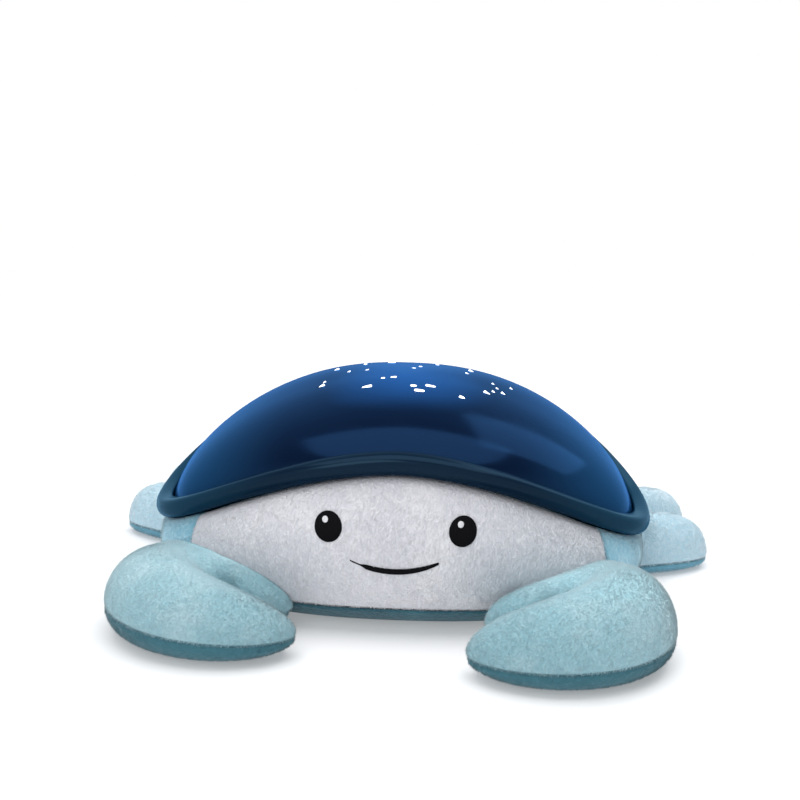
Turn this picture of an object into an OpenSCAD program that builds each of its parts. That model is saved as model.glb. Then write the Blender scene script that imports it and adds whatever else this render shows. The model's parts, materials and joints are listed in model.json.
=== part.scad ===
// Plush crab night light that throws moving water ripples on the ceiling.
// A stuffed crab carries a removable projector: a tinted shell over a lamp, a geared ripple disc
// and a pierced mask, on a tub with the battery bay, the speaker and the boards.
// Millimetres. X to the crab's left, Y to its back, Z up. The origin is on the floor, under the middle.

/* [Shell] */
// Width of the shell across its tips, with the lip
shell_w = 240; // [232:1:252]
// Depth of the shell, with the lip
shell_d = 172; // [166:1:182]
// Height of the top of the dome above the floor
dome_top = 101; // [100:0.5:106]
// Underside of the lip at the front, over the face
front_z = 75.5; // [72:0.5:78]
// Underside of the lip at the back
rear_z = 75; // [72:0.5:78]
// Underside of the lip at the tips
tip_z = 31; // [29:0.5:34]
// Height of the lip
lip_h = 10; // [9:0.5:12]
// Width of the lip, from its outside to the groove
lip_w = 8; // [7:0.5:9]
// Width of the groove between the lip and the dome
groove_w = 0.6; // [0.4:0.1:1]
// Depth of the groove
groove_d = 4; // [3:0.5:5]
// Wall of the dome
dome_wall = 2.4; // [2:0.1:3]
// Wall of the rim shell
rim_wall = 2; // [1.6:0.1:2.6]
// Squareness of the shell seen from above, where 2 is an ellipse
shell_n = 2.3; // [2:0.1:2.6]
// Fullness of the dome seen from the side, where 2 is an ellipse
dome_n = 1.75; // [1.65:0.05:2]
// How sharply the lip drops from the face to the tips
arch_p = 1.8; // [1.6:0.1:2.2]
// How sharply the lip drops from the back to the tips
rear_arch_p = 2.4; // [1.8:0.1:2.6]

/* [Plush body] */
// How far the face and back swell
body_bulge = 22; // [18:0.5:25]
// How far the sides swell
side_bulge = 10; // [8:0.5:12]
// Thickness of the padded face panel
face_t = 4; // [3:0.5:5]
// Thickness of the belly pad
belly_t = 3; // [2.5:0.5:4]
// Height of the belly seam above the floor
belly_seam_z = 12; // [10:0.5:14]
// Half of the angle that the white face takes up
face_half = 49; // [45:1:53]
// Half width of the opening in the belly
belly_open_x = 62; // [58:1:66]
// Half depth of the opening in the belly
belly_open_y = 42; // [40:1:45]

/* [Limbs] */
// Height of a claw
claw_h = 42; // [38:1:46]
// How much flatter the claw on the right lies
claw_slump = 5; // [0:1:7]
// Turn of the limbs about the body, which brings those on the left forward
limb_turn = 3; // [0:0.5:4]
// How far the limbs on the left lie forward, and those on the right back
limb_sway = 4; // [0:0.5:6]
// How far the limbs on the left lie out, and those on the right in
limb_shift = 2; // [0:0.5:4]
// Thickness of a leg
leg_d = 29; // [26:0.5:32]
// Length of a leg from its root in the body
leg_l = 66; // [60:1:72]

/* [Face] */
// Half of the distance between the eyes
eye_x = 29.5; // [26:0.5:33]
// Height of the eyes
eye_z = 53; // [49:0.5:56]
// Width of an eye
eye_w = 12; // [9:0.5:13]
// Height of an eye
eye_h = 13; // [11:0.5:15]
// Half of the width of the mouth
mouth_x = 19.5; // [17:0.5:23]
// Height of the lowest point of the mouth
mouth_z = 34.5; // [32:0.5:38]
// How far the corners of the mouth rise
mouth_rise = 4.5; // [3:0.5:6]
// Stroke of the embroidered mouth
mouth_stroke = 2.6; // [2:0.2:3.4]
// Height of the embroidery above the pile
stitch_t = 0.9; // [0.6:0.1:1.4]

/* [Tub] */
// Length of the tub
tub_l = 150; // [148:0.5:154]
// Depth of the tub
tub_d = 104; // [102:0.5:107]
// Corner radius of the tub
tub_r = 30; // [27:0.5:32]
// Wall of the tub
tub_wall = 2.2; // [1.8:0.1:2.6]
// Floor of the tub
floor_t = 2.5; // [2.2:0.1:3]
// Underside of the tub above the table
tub_z = 5; // [4.5:0.1:6]
// Top edge of the tub
tub_top = 46; // [45:0.5:48]

/* [Batteries] */
// Diameter of a cell
cell_d = 14.5; // [14:0.1:14.6]
// Length of a cell
cell_l = 50.5; // [50:0.1:50.6]
// Distance between neighbouring cells
cell_pitch = 15.2; // [15:0.1:15.6]
// Number of cells
cell_count = 3; // [3]
// Wire of a contact spring
spring_wire = 0.6; // [0.5:0.1:0.7]
// Thickness of the battery door
door_t = 2.2; // [2:0.1:2.4]

/* [Mechanism] */
// Module of the gears
gear_m = 1; // [1]
// Teeth of the ring gear under the ripple disc
ring_teeth = 64; // [64]
// Teeth of the large idler wheel
idler_teeth = 30; // [30]
// Teeth of both pinions
pinion_teeth = 12; // [12]
// Face width of the gears
gear_w = 3.2; // [3:0.1:3.4]
// Thickness of the deck that carries the mechanism
deck_t = 2.4; // [2:0.1:2.8]
// Radius of the collar that the ring gear runs on
collar_r = 26; // [25:0.5:27]
// Diameter of the motor
motor_d = 15; // [13:0.5:16]
// Height of the motor
motor_h = 18; // [15:0.5:20]
// Diameter of the motor's shaft
motor_shaft_d = 1.5; // [1.5:0.1:2]
// Diameter of the idler's shaft
idler_shaft_d = 3; // [2.5:0.1:3.4]
// Radial play of a turning shaft
play = 0.05; // [0.03:0.01:0.08]

/* [Controls] */
// Diameter of a button
button_d = 8; // [7:0.2:8.6]
// Distance between the buttons along the row
button_pitch = 15; // [14:0.5:16]
// Travel of a button
button_travel = 1.2; // [0.8:0.1:1.6]
// How far a button stands proud of the shell
button_proud = 0.6; // [0.4:0.1:1]
// Tilt of the buttons above level
button_tilt = 60; // [57:1:63]
// Travel of the mode slider to either side
slider_travel = 3; // [2:0.5:3.5]

/* [Hidden] */
$fn = 48;

shell_blue = "#1d3f78";
plush_blue = "#a3cdd8";
plush_white = "#e6e6ec";
belly_teal = "#5f9ca8";
thread_black = "#15151a";
housing_white = "#dfe3e6";
gear_white = "#f1f0ea";
board_green = "#2d6b45";
steel = "#b9bcc0";
dark = "#26282c";

// Gap between soft pieces and what they lie on, and between fixed rigid pieces
soft_gap = 0.5;
fit_gap = 0.2;
small = 0.01;

// Plan of the shell, the tub and what follows them

half_w = shell_w/2;
half_d = shell_d/2;
tub_n = 4;

function signed_power(v, e) = sign(v)*pow(abs(v), e);

// A point of a superellipse with half widths a and b and squareness n
function outline(t, a, b, n) = [a*signed_power(cos(t), 2/n), b*signed_power(sin(t), 2/n)];

// A point of the shell's plan, grown by s
function shell_plan(t, s) = outline(t, half_w + s, half_d + s, shell_n);

// Height of the lip's underside: an arch over the face and another over the back
function lip_z(t) =
  let (u = pow(abs(cos(t)), 2/shell_n))
  sin(t) < 0 ? tip_z + (front_z - tip_z)*(1 - pow(u, arch_p))
             : tip_z + (rear_z - tip_z)*(1 - pow(u, rear_arch_p));

function at(p, z) = [p.x, p.y, z];
function blend(a, b, k) = a + (b - a)*k;

step_angle = 5;
shell_angles = [0:step_angle:360 - step_angle];

// Solids from rings of points

// Side faces between rings. Each ring runs anticlockwise seen from above, and the rings go down the outside.
function side_faces(rows, n, closed) = [
  for (i = [0:1:rows - (closed ? 1 : 2)], j = [0:1:n - 1])
    let (a = i*n + j, b = i*n + (j + 1)%n, k = ((i + 1)%rows)*n, c = k + (j + 1)%n, d = k + j)
    each [[a, b, c], [a, c, d]]
];

// A tube that closes on itself, such as a ring with a shaped section
module ring_solid(rings) {
  polyhedron([for (r = rings) each r], side_faces(len(rings), len(rings[0]), true));
}

// A solid whose first and last rings close on a point
module pole_solid(rings, first, last) {
  n = len(rings[0]);
  rows = len(rings);
  points = concat([for (r = rings) each r], [first, last]);
  caps = [for (j = [0:1:n - 1]) each [
    [rows*n, (j + 1)%n, j],
    [rows*n + 1, (rows - 1)*n + j, (rows - 1)*n + (j + 1)%n]
  ]];
  polyhedron(points, concat(side_faces(rows, n, false), caps));
}

// A curved slab: each section goes down its outer skin and back up its inner skin
module slab_solid(sections) {
  n = len(sections[0]);
  rows = len(sections);
  half = n/2;
  last = (rows - 1)*n;
  ends = [for (k = [0:1:half - 2]) each [
    [k, n - 2 - k, n - 1 - k], [k, k + 1, n - 2 - k],
    [last + k, last + n - 1 - k, last + n - 2 - k], [last + k, last + n - 2 - k, last + k + 1]
  ]];
  sides = [for (f = side_faces(rows, n, false)) [f[0], f[2], f[1]]];
  polyhedron([for (s = sections) each s], concat(sides, ends));
}

// A block with rounded upright edges
module rounded_block(size, r, h) {
  linear_extrude(h) rounded_sheet(size, r);
}

module rounded_sheet(size, r) {
  square([size.x - 2*r, size.y], center = true);
  square([size.x, size.y - 2*r], center = true);
  for (x = [-1, 1], y = [-1, 1])
    translate([x*(size.x/2 - r), y*(size.y/2 - r)]) circle(r);
}

module tube(r_out, r_in, h) {
  difference() {
    cylinder(r = r_out, h = h);
    translate([0, 0, -1]) cylinder(r = r_in, h = h + 2);
  }
}

// Shell: the tinted dome and the rim shell with its lip

dome_inset = lip_w + groove_w;
dome_phis = [0, 5, 11, 18, 26, 35, 45, 56, 66, 75, 83];

dome_seat = 0.15;

function ledge_z(t) = lip_z(t) + lip_h - groove_d;
function dome_base_z(t) = ledge_z(t) + dome_seat;

// A point of the dome, phi degrees up from its edge, inset by its wall for the inner skin
function dome_point(t, phi, inset) =
  let (p = shell_plan(t, -dome_inset - inset)*pow(cos(phi), 2/dome_n), z = dome_base_z(t))
  at(p, z + (dome_top - inset - z)*pow(sin(phi), 2/dome_n));

function dome_ring(phi, inset) = [for (t = shell_angles) dome_point(t, phi, inset)];

module dome_skin() {
  outer = [for (i = [len(dome_phis) - 1:-1:0]) dome_ring(dome_phis[i], 0)];
  inner = [for (phi = dome_phis) dome_ring(phi, dome_wall)];
  pole_solid(concat(outer, inner), [0, 0, dome_top], [0, 0, dome_top - dome_wall]);
}

// Windows for the light: place across and back on the dome, and length of the slot
window_r = 1;
windows = [
  [-41, -3, 2], [-40, 4, 0], [-29, 17, 0], [-20, 15, 0], [-18, -18, 3], [-11, -6, 0], [-6, -5, 1],
  [4, -18, 1], [6, 23, 0], [3, 17, 0], [7, -24, 3], [12, -16, 3], [29, 23, 0], [27, -24, 1], [39, -7, 2],
  [42, 15, 0], [42, -1, 0], [44, 8, 0], [47, 2, 1], [51, 19, 0],
  [-36, 30, 1], [-22, 36, 0], [-9, 39, 2], [14, 38, 0], [31, 34, 1]
];
lamp_z = 44;

// Height of the dome over a place in plan
function dome_height(x, y) =
  let (a = half_w - dome_inset, b = half_d - dome_inset,
       k = pow(pow(abs(x)/a, shell_n) + pow(abs(y)/b, shell_n), 1/shell_n),
       t = atan2(signed_power(y/b, shell_n/2), signed_power(x/a, shell_n/2)), z = dome_base_z(t))
  z + (dome_top - z)*pow(1 - pow(k, dome_n), 1/dome_n);

// Lies along the ray from the lamp through each window, from inner below the dome to outer above it
module window_rays(r, inner, outer) {
  for (w = windows) {
    reach = [w.x, w.y, dome_height(w.x, w.y) - lamp_z];
    bearing = atan2(w.y, w.x);
    translate([0, 0, lamp_z]) rotate([0, acos(reach.z/norm(reach)), bearing])
      translate([0, 0, norm(reach) - inner]) rotate(-bearing) slot(w[2], r, inner + outer);
  }
}

module slot(length, r, h) {
  if (length > 0) {
    translate([-length/2, -r, 0]) cube([length, 2*r, h]);
    for (x = [-length/2, length/2]) translate([x, 0, 0]) cylinder(r = r, h = h);
  } else {
    cylinder(r = r, h = h);
  }
}

module shell_dome() {
  color(shell_blue, 0.7) difference() {
    dome_skin();
    window_rays(window_r, dome_wall + 2, 3);
    for (i = [0:3]) button_axis(i) dome_hole(button_d/2 + button_gap);
    mic_axis() dome_hole(mic_port_r);
  }
}

module dome_hole(r) {
  translate([0, 0, -dome_hole_depth]) cylinder(r = r, h = 2*dome_hole_depth);
}

// Rim shell: the lip, the funnel inside it and the flange that sits on the tub

flange_z = tub_top;
flange_top = flange_z + rim_wall;
flange_overhang = 3;
flange_a = tub_l/2 + flange_overhang;
flange_b = tub_d/2 + flange_overhang;
lip_round = lip_w/2;
lip_floor = lip_w + 4;
ledge_in = dome_inset + dome_wall + 1.5;
lip_arc = [90, 58, 28, 0, -28, -58, -90];

// One section through the rim shell, from the groove over the lip and back by the flange
function rim_section(t) =
  let (z = lip_z(t), ledge = ledge_z(t))
  concat(
    [at(shell_plan(t, -lip_w), ledge), at(shell_plan(t, -lip_w), z + lip_h - 1)],
    [for (a = lip_arc) at(shell_plan(t, lip_round*(cos(a) - 1)), z + lip_h/2*(1 + sin(a)))],
    [at(shell_plan(t, -lip_floor), z)],
    [at(outline(t, flange_a, flange_b, tub_n), flange_z)],
    [at(outline(t, flange_open_a, flange_open_b, tub_n), flange_z)],
    [at(outline(t, flange_open_a, flange_open_b, tub_n), flange_top)],
    [at(outline(t, flange_a - rim_wall, flange_b - rim_wall, tub_n), flange_top)],
    [at(shell_plan(t, -ledge_in), ledge)]
  );

// Turns a list of sections round the axis into rings along the section
function rings_of(sections) = [for (k = [0:1:len(sections[0]) - 1]) [for (s = sections) s[k]]];

module rim_shell() {
  color(shell_blue, 0.9) difference() {
    union() {
      ring_solid(rings_of([for (t = shell_angles) rim_section(t)]));
      tub_screw_places() translate([0, 0, flange_top - small]) cylinder(r = boss_r, h = flange_boss_h);
    }
    tub_screw_places() translate([0, 0, flange_z - 1]) cylinder(d = screw_hole_d, h = flange_boss_h + 2);
    deck_screw_places() translate([0, 0, flange_z - 1]) cylinder(d = screw_hole_d, h = rim_wall + 2);
  }
}

// Plush body: a stuffed ring round the tub that swells under the lip

body_bottom_s = -22;
body_top_s = -5;
pocket_gap = 0.9;
pocket_drop = 1.2;
pocket_a = flange_a + pocket_gap;
pocket_b = flange_b + pocket_gap;

function body_top(t) = lip_z(t) - soft_gap;
function swell(t) = side_bulge + (body_bulge - side_bulge)*pow(abs(sin(t)), 1.5);

// Growth of the body's outline over the shell's, at the share v of its height
function body_s(t, v) =
  let (u = pow(v, 0.75)) blend(body_bottom_s, body_top_s, v) + swell(t)*4*u*(1 - u);

// A point of the plush surface, inset for what lies under a panel
function body_point(t, v, inset) = at(shell_plan(t, body_s(t, v) - inset), body_top(t)*v);

function seam_v(t) = belly_seam_z/body_top(t);
function above_seam(t, k) = blend(seam_v(t), 1, k);

face_from = 270 - face_half;
face_to = 270 + face_half;
seam_step = 1;
function in_face(t) = t > face_from && t < face_to;

// Angles for the plush: even steps, with a narrow step at each end of the face
body_angles = concat(
  [for (t = shell_angles) if (t < face_from - seam_step) t],
  [face_from - seam_step, face_from + small],
  [for (t = shell_angles) if (t > face_from + seam_step && t < face_to - seam_step) t],
  [face_to - small, face_to + seam_step],
  [for (t = shell_angles) if (t > face_to + 2*seam_step) t]
);
body_shares = [1, 0.88, 0.74, 0.58, 0.4, 0.22, 0.08, 0];
belly_inset = belly_t + soft_gap;

function body_section(t) =
  let (inset = in_face(t) ? face_t + soft_gap : 0, seam = seam_v(t))
  concat(
    [for (k = body_shares) body_point(t, above_seam(t, k), inset)],
    [body_point(t, seam, belly_inset + inset)],
    [at(shell_plan(t, body_s(t, seam/3) - belly_inset - inset), belly_inset)],
    [at(outline(t, pocket_a, pocket_b, tub_n), belly_inset)],
    [at(outline(t, pocket_a, pocket_b, tub_n), flange_z - pocket_drop)],
    [at(shell_plan(t, -lip_floor + pocket_gap), lip_z(t) - pocket_drop)]
  );

module plush_body() {
  color(plush_blue) ring_solid(rings_of([for (t = body_angles) body_section(t)]));
}

// Face: a padded panel sewn over the front
face_end = 0.4;
face_angles = concat(
  [face_from + face_end],
  [for (t = shell_angles) if (t > face_from + seam_step && t < face_to - seam_step) t],
  [face_to - face_end]
);

function face_section(t) = concat(
  [for (k = body_shares) body_point(t, above_seam(t, k), 0)],
  [for (i = [len(body_shares) - 1:-1:0]) body_point(t, above_seam(t, body_shares[i]), face_t)]
);

module face_panel() {
  color(plush_white) slab_solid([for (t = face_angles) face_section(t)]);
}

// Belly: a quilted pad with an opening at the battery door, and a ledge that the tub rests on
seat_gap = 0.3;
ledge_edge = 1.2;

function belly_section(t) =
  let (seam = seam_v(t), top = seam*0.97)
  [
    body_point(t, top, 0),
    body_point(t, seam*0.6, 0),
    body_point(t, seam*0.25, 0),
    at(shell_plan(t, body_bottom_s), 0),
    at(outline(t, belly_open_x, belly_open_y, tub_n), 0),
    at(outline(t, belly_open_x, belly_open_y, tub_n), tub_z - seat_gap),
    at(outline(t, pocket_a - ledge_edge, pocket_b - ledge_edge, tub_n), tub_z - seat_gap),
    at(outline(t, pocket_a - ledge_edge, pocket_b - ledge_edge, tub_n), belly_t),
    at(shell_plan(t, body_s(t, seam/3) - belly_t), belly_t),
    body_point(t, top, belly_t)
  ];

module belly_panel() {
  color(belly_teal) ring_solid(rings_of([for (t = shell_angles) belly_section(t)]));
}

limb_gap = 1;
envelope_angles = [0:2*step_angle:360 - 2*step_angle];
envelope_shares = [1, 0.75, 0.55, 0.42, 0.32, 0.23, 0.15, 0.08, 0.03, 0];

// The plush's outer surface as one solid, which the limbs are cut by
module body_envelope() {
  rings = [for (v = envelope_shares) [for (t = envelope_angles) body_point(t, v, -limb_gap)]];
  sunk = [for (t = envelope_angles) at(shell_plan(t, body_bottom_s + limb_gap), -1)];
  pole_solid(concat(rings, [sunk]), [0, 0, tip_z - soft_gap], [0, 0, -1]);
}

// Limbs: stuffed tubes along a curve, flat where they lie on the floor

limb_sides = 20;
limb_steps = 14;
// Share of a limb's height at which its section is widest and its tip closes
limb_mid = 0.4;
// Powers that blunt the tip, square the lower half and flatten the underside
limb_blunt = 7;
limb_square = 0.55;
limb_under = 0.75;

// A point of a cubic curve with the four control points p
function curve(p, u) =
  pow(1 - u, 3)*p[0] + 3*u*pow(1 - u, 2)*p[1] + 3*u*u*(1 - u)*p[2] + u*u*u*p[3];

// Direction across the curve, level
function across(p, u) =
  let (d = curve(p, min(1, u + 0.02)) - curve(p, max(0, u - 0.02)))
  [-d.y, d.x]/norm(d);

// Swell along a limb: from its root's share of the full size to its tip's, and full between
function limb_swell(u, ends) = blend(ends[0], ends[1], u) + (1 - (ends[0] + ends[1])/2)*sin(180*u);

// How the section closes at the blunt tip
function limb_close(u) = sqrt(1 - pow(u, limb_blunt));

// Width and height of a limb's section at the angle a: full above, flat where it lies on the floor
function limb_out(a) = sin(a) < 0 ? signed_power(cos(a), limb_square) : cos(a);
function limb_up(a, middle, high) =
  sin(a) < 0 ? -middle*pow(-sin(a), limb_under) : (high - middle)*sin(a);

// One ring of a limb that is w wide and h high, whose tip rises off the floor
function limb_ring(p, u, w, h, ends, rise) =
  let (c = curve(p, u), n = across(p, u), k = limb_swell(u, ends), shut = limb_close(u),
       high = h*k, middle = limb_mid*high)
  [for (j = [0:1:limb_sides - 1])
    let (a = -360*j/limb_sides)
    at(c + n*w/2*k*shut*limb_out(a), middle + shut*limb_up(a, middle, high) + rise*pow(u, 3))];

module limb(p, w, h, ends, rise) {
  rings = [for (i = [0:1:limb_steps - 1]) limb_ring(p, sin(90*i/limb_steps), w, h, ends, rise)];
  pole_solid(rings, at(p[0], limb_mid*h*ends[0]), at(p[3], limb_mid*h*ends[1] + rise));
}

claw_w = 50;
claw_ends = [0.72, 0.66];
claw_rise = 1;
claw_path = [[82, -45], [129, -88], [97, -137], [37, -117]];
pincer_w = 31;
pincer_h = 33;
pincer_ends = [1, 0.6];
pincer_rise = 5;
pincer_path = [[90, -57], [88, -76], [70, -86], [43, -87]];

// Turns and shifts a limb, to side 1 forward and out and to side -1 back and in
module swayed(side) {
  translate([side*limb_shift, -side*limb_sway, 0]) rotate(-side*limb_turn) children();
}

module claw(side) {
  high = side > 0 ? claw_h : claw_h - claw_slump;
  difference() {
    swayed(side) {
      limb(claw_path, claw_w, high, claw_ends, claw_rise);
      limb(pincer_path, pincer_w, pincer_h, pincer_ends, pincer_rise);
    }
    body_envelope();
  }
}

module left_claw() {
  color(plush_blue) claw(1);
}

module right_claw() {
  color(plush_blue) mirror([1, 0, 0]) claw(-1);
}

front_leg_root = [88, 17];
front_leg_way = 24;
rear_leg_root = [84, 52];
rear_leg_way = 36;
leg_ends = [0.86, 0.7];
leg_rise = 1;

module leg(root, bearing, side) {
  way = [cos(bearing), sin(bearing)];
  path = [root, root + way*leg_l*0.4, root + way*leg_l*0.75, root + way*leg_l];
  difference() {
    swayed(side) limb(path, leg_d, leg_d, leg_ends, leg_rise);
    body_envelope();
  }
}

module left_front_leg() {
  color(plush_blue) leg(front_leg_root, front_leg_way, 1);
}

module left_rear_leg() {
  color(plush_blue) leg(rear_leg_root, rear_leg_way, 1);
}

module right_front_leg() {
  color(plush_blue) mirror([1, 0, 0]) leg(front_leg_root, front_leg_way, -1);
}

module right_rear_leg() {
  color(plush_blue) mirror([1, 0, 0]) leg(rear_leg_root, rear_leg_way, -1);
}

// Embroidery on the face

stitch_gap = 0.25;

// The angle at which the face reaches x across, at the share v of its height
function face_angle(x, v) =
  let (wide = half_w + body_s(270, v)) 270 + asin(signed_power(x/wide, shell_n/2));

// A point over the face at x across and z up, lifted off the pile
function on_face(x, z, lift) =
  let (v = z/body_top(face_angle(x, 0.6)), t = face_angle(x, v))
  at(shell_plan(t, body_s(t, z/body_top(t)) + lift), z);

stitch_sides = 24;

function eye_ring(x, r, lift) = [
  for (j = [0:1:stitch_sides - 1])
    let (a = 360*j/stitch_sides) on_face(x + eye_w/2*r*cos(a), eye_z + eye_h/2*r*sin(a), lift)
];

// An oval pad: crowned outside, flat on the face inside
module eye(x) {
  pole_solid(
    [eye_ring(x, 0.5, stitch_gap + stitch_t), eye_ring(x, 0.85, stitch_gap + stitch_t*0.8),
     eye_ring(x, 1, stitch_gap + stitch_t*0.3), eye_ring(x, 1, stitch_gap), eye_ring(x, 0.5, stitch_gap)],
    on_face(x, eye_z, stitch_gap + stitch_t*1.05), on_face(x, eye_z, stitch_gap)
  );
}

module left_eye() {
  color(thread_black) eye(eye_x);
}

module right_eye() {
  color(thread_black) eye(-eye_x);
}

mouth_steps = 16;

// A smile: a stroke along a shallow bow that thins to its corners
function mouth_ring(i) =
  let (k = 2*i/mouth_steps - 1, x = mouth_x*k, z = mouth_z + mouth_rise*k*k,
       half = mouth_stroke/2*sqrt(1.05 - k*k), high = stitch_t*sqrt(1.05 - k*k))
  [
    on_face(x, z - half, stitch_gap), on_face(x, z - half*0.6, stitch_gap + high*0.9),
    on_face(x, z + half*0.6, stitch_gap + high*0.9), on_face(x, z + half, stitch_gap)
  ];

module mouth() {
  first = mouth_ring(0);
  last = mouth_ring(mouth_steps);
  color(thread_black) pole_solid(
    [for (i = [0:1:mouth_steps]) mouth_ring(i)],
    (first[0] + first[1] + first[2] + first[3])/4, (last[0] + last[1] + last[2] + last[3])/4
  );
}

// Fasteners

screw_d = 2.6;
screw_gap = 0.15;
screw_hole_d = screw_d + 2*screw_gap;
screw_head_d = 5.2;
screw_head_h = 1.8;
boss_r = 3.5;

// A pan-head screw, its head above z = 0 and its shank below
module screw(length) {
  intersection() {
    cylinder(d = screw_head_d, h = screw_head_h);
    translate([0, 0, screw_head_h - screw_head_d]) sphere(r = screw_head_d);
  }
  translate([0, 0, -length]) cylinder(d = screw_d, h = length + small);
}

// Tub: the lower housing

floor_top = tub_z + floor_t;
flange_boss_h = 8;
tub_boss_z = tub_top - 10;
corner_x = tub_l/2 - tub_r;
corner_y = tub_d/2 - tub_r;
tub_screw_reach = (tub_r - tub_wall - boss_r - 1)*sqrt(0.5);

module tub_screw_places() {
  for (x = [-1, 1], y = [-1, 1])
    translate([x*(corner_x + tub_screw_reach), y*(corner_y + tub_screw_reach), 0]) children();
}

bay_x = -15;
bay_wall = 1.6;
contact_t = 0.5;
contact_gap = 0.2;
spring_l = 6;
cell_gap = 0.25;
bay_l = cell_l + spring_l + 2*contact_t + 2*contact_gap;
bay_w = cell_pitch*(cell_count - 1) + cell_d + 2*bay_wall - 0.8;
shelf_t = 2;
bay_top = floor_top + cell_d + 2*cell_gap + 1;
cell_z = bay_top - cell_gap - cell_d/2;
door_margin = 3;
door_l = bay_l + 2*door_margin;
door_w = bay_w + 2*door_margin;
door_gap = 0.4;
hinge_x = bay_x - door_l/2 - 2.5;
hinge_z = tub_z + 2;
hinge_r = 2;
hinge_pin_r = 1;
hinge_room = 1;
knuckle_y = 14;
knuckle_l = 10;
lug_gap = 0.4;
door_tab_l = 8;
door_screw_x = bay_x + door_l/2 + door_tab_l - boss_r - 0.6;
door_tab_x = door_screw_x - door_tab_l/2;
door_tab_size = [door_tab_l + 2*boss_r, 11];
hinge_arm = 3.5;
grip_w = 1.2;
door_screw_l = 5;
door_screw_gap = 0.45;
door_recess = 1;
door_head_h = 0.9;

speaker_r = 18;
speaker_gap = 1.65;
speaker_wall = 2;
speaker_x = door_screw_x + boss_r + speaker_gap + speaker_wall + speaker_r;
speaker_seat_h = 3;
grille_r = 1.5;
grille_pitch = 5;

board_l = 94;
board_w = 74;
board_t = 1.6;
board_z = tub_top - 12;
board_top = board_z + board_t;
post_r = 3;

slider_x = bay_x;
slider_y = -(door_w/2 + 7.5);
slider_neck = [4, 3];
slider_slot_gap = 0.3;
slider_slot = [slider_neck.x + 2*slider_travel + 2*slider_slot_gap, slider_neck.y + 2*slider_slot_gap];

module board_screw_places() {
  for (x = [-1, 1], y = [-1, 1])
    translate([x*(board_l/2 - 7), y*(board_w/2 - 5), 0]) children();
}

module grille_places() {
  for (ring = [0:2], i = [0:max(0, 6*ring - 1)])
    rotate(360*i/max(1, 6*ring)) translate([ring*grille_pitch, 0, 0]) children();
}

module centred_block(x, y, z, size) {
  translate([x - size.x/2, y - size.y/2, z]) cube(size);
}

hinge_box_l = door_w + 2*door_gap;
hinge_box_w = 2*(hinge_r + hinge_room) + 2;
hinge_roof_z = hinge_z + hinge_r + hinge_room;

module tub_walls() {
  difference() {
    translate([0, 0, tub_z]) rounded_block([tub_l, tub_d], tub_r, tub_top - tub_z);
    translate([0, 0, floor_top])
      rounded_block([tub_l - 2*tub_wall, tub_d - 2*tub_wall], tub_r - tub_wall, tub_top);
  }
  tub_screw_places() translate([0, 0, tub_z]) cylinder(r = boss_r + 0.6, h = tub_top - tub_z);
  board_screw_places() translate([0, 0, tub_z]) cylinder(r = post_r, h = board_z - tub_z);
  centred_block(bay_x, 0, floor_top - small, [door_l + 6, door_w + 6, shelf_t]);
  centred_block(bay_x, 0, floor_top,
    [bay_l + 2*bay_wall, bay_w + 2*bay_wall, bay_top + bay_wall - floor_top]);
  centred_block(hinge_x + 1, 0, floor_top - small,
    [hinge_box_w + 2, hinge_box_l + 4, hinge_roof_z - floor_top + 2]);
  translate([speaker_x, 0, floor_top - small])
    tube(speaker_r + speaker_wall, speaker_r + 0.3, speaker_seat_h);
  translate([door_screw_x, 0, floor_top - small]) cylinder(r = boss_r, h = 10);
}

module base_tub() {
  color(housing_white) difference() {
    union() {
      difference() {
        tub_walls();
        centred_block(bay_x, 0, tub_z - 1, [door_l + 2*door_gap, door_w + 2*door_gap, floor_t + 1]);
        centred_block(door_tab_x, 0, tub_z - 1,
          [door_tab_size.x + 3*door_gap, door_tab_size.y + 2*door_gap, floor_t + 1]);
        centred_block(bay_x, 0, tub_z, [bay_l, bay_w, bay_top - tub_z]);
        centred_block(hinge_x + 1, 0, tub_z - 1, [hinge_box_w, hinge_box_l, hinge_roof_z - tub_z + 1]);
      }
      hinge_lugs();
    }
    tub_screw_places() translate([0, 0, tub_z - 1]) {
      cylinder(d = screw_hole_d, h = tub_top);
      cylinder(d = screw_head_d + 0.8, h = tub_boss_z - tub_z + 1);
    }
    board_screw_places() translate([0, 0, board_z - 9]) cylinder(d = screw_hole_d, h = 10);
    translate([door_screw_x, 0, floor_top - 1]) cylinder(d = screw_d + 2*door_screw_gap, h = 9);
    translate([speaker_x, 0, tub_z - 1]) grille_places() cylinder(r = grille_r, h = floor_t + 2);
    centred_block(slider_x, slider_y, tub_z - 1, [slider_slot.x, slider_slot.y, floor_t + 2]);
    hinge_bar(hinge_pin_r + play, hinge_box_l - 1);
  }
}

// A round bar along the hinge
module hinge_bar(r, length) {
  translate([hinge_x, 0, hinge_z]) rotate([90, 0, 0]) cylinder(r = r, h = length, center = true);
}

// Lugs between and outside the door's knuckles, which hold the pin
module hinge_lugs() {
  inner_l = 2*knuckle_y - knuckle_l - 2*lug_gap;
  outer_l = hinge_box_l/2 - knuckle_y - knuckle_l/2 - lug_gap + small;
  outer_y = hinge_box_l/2 + small - outer_l/2;
  for (lug = [[0, inner_l], [-outer_y, outer_l], [outer_y, outer_l]]) {
    centred_block(hinge_x, lug[0], hinge_z, [2*hinge_r, lug[1], hinge_roof_z - hinge_z + small]);
    translate([0, lug[0], 0]) hinge_bar(hinge_r, lug[1]);
  }
}

module door_hinge_pin() {
  color(steel) hinge_bar(hinge_pin_r, hinge_box_l - 1.4);
}

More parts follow.
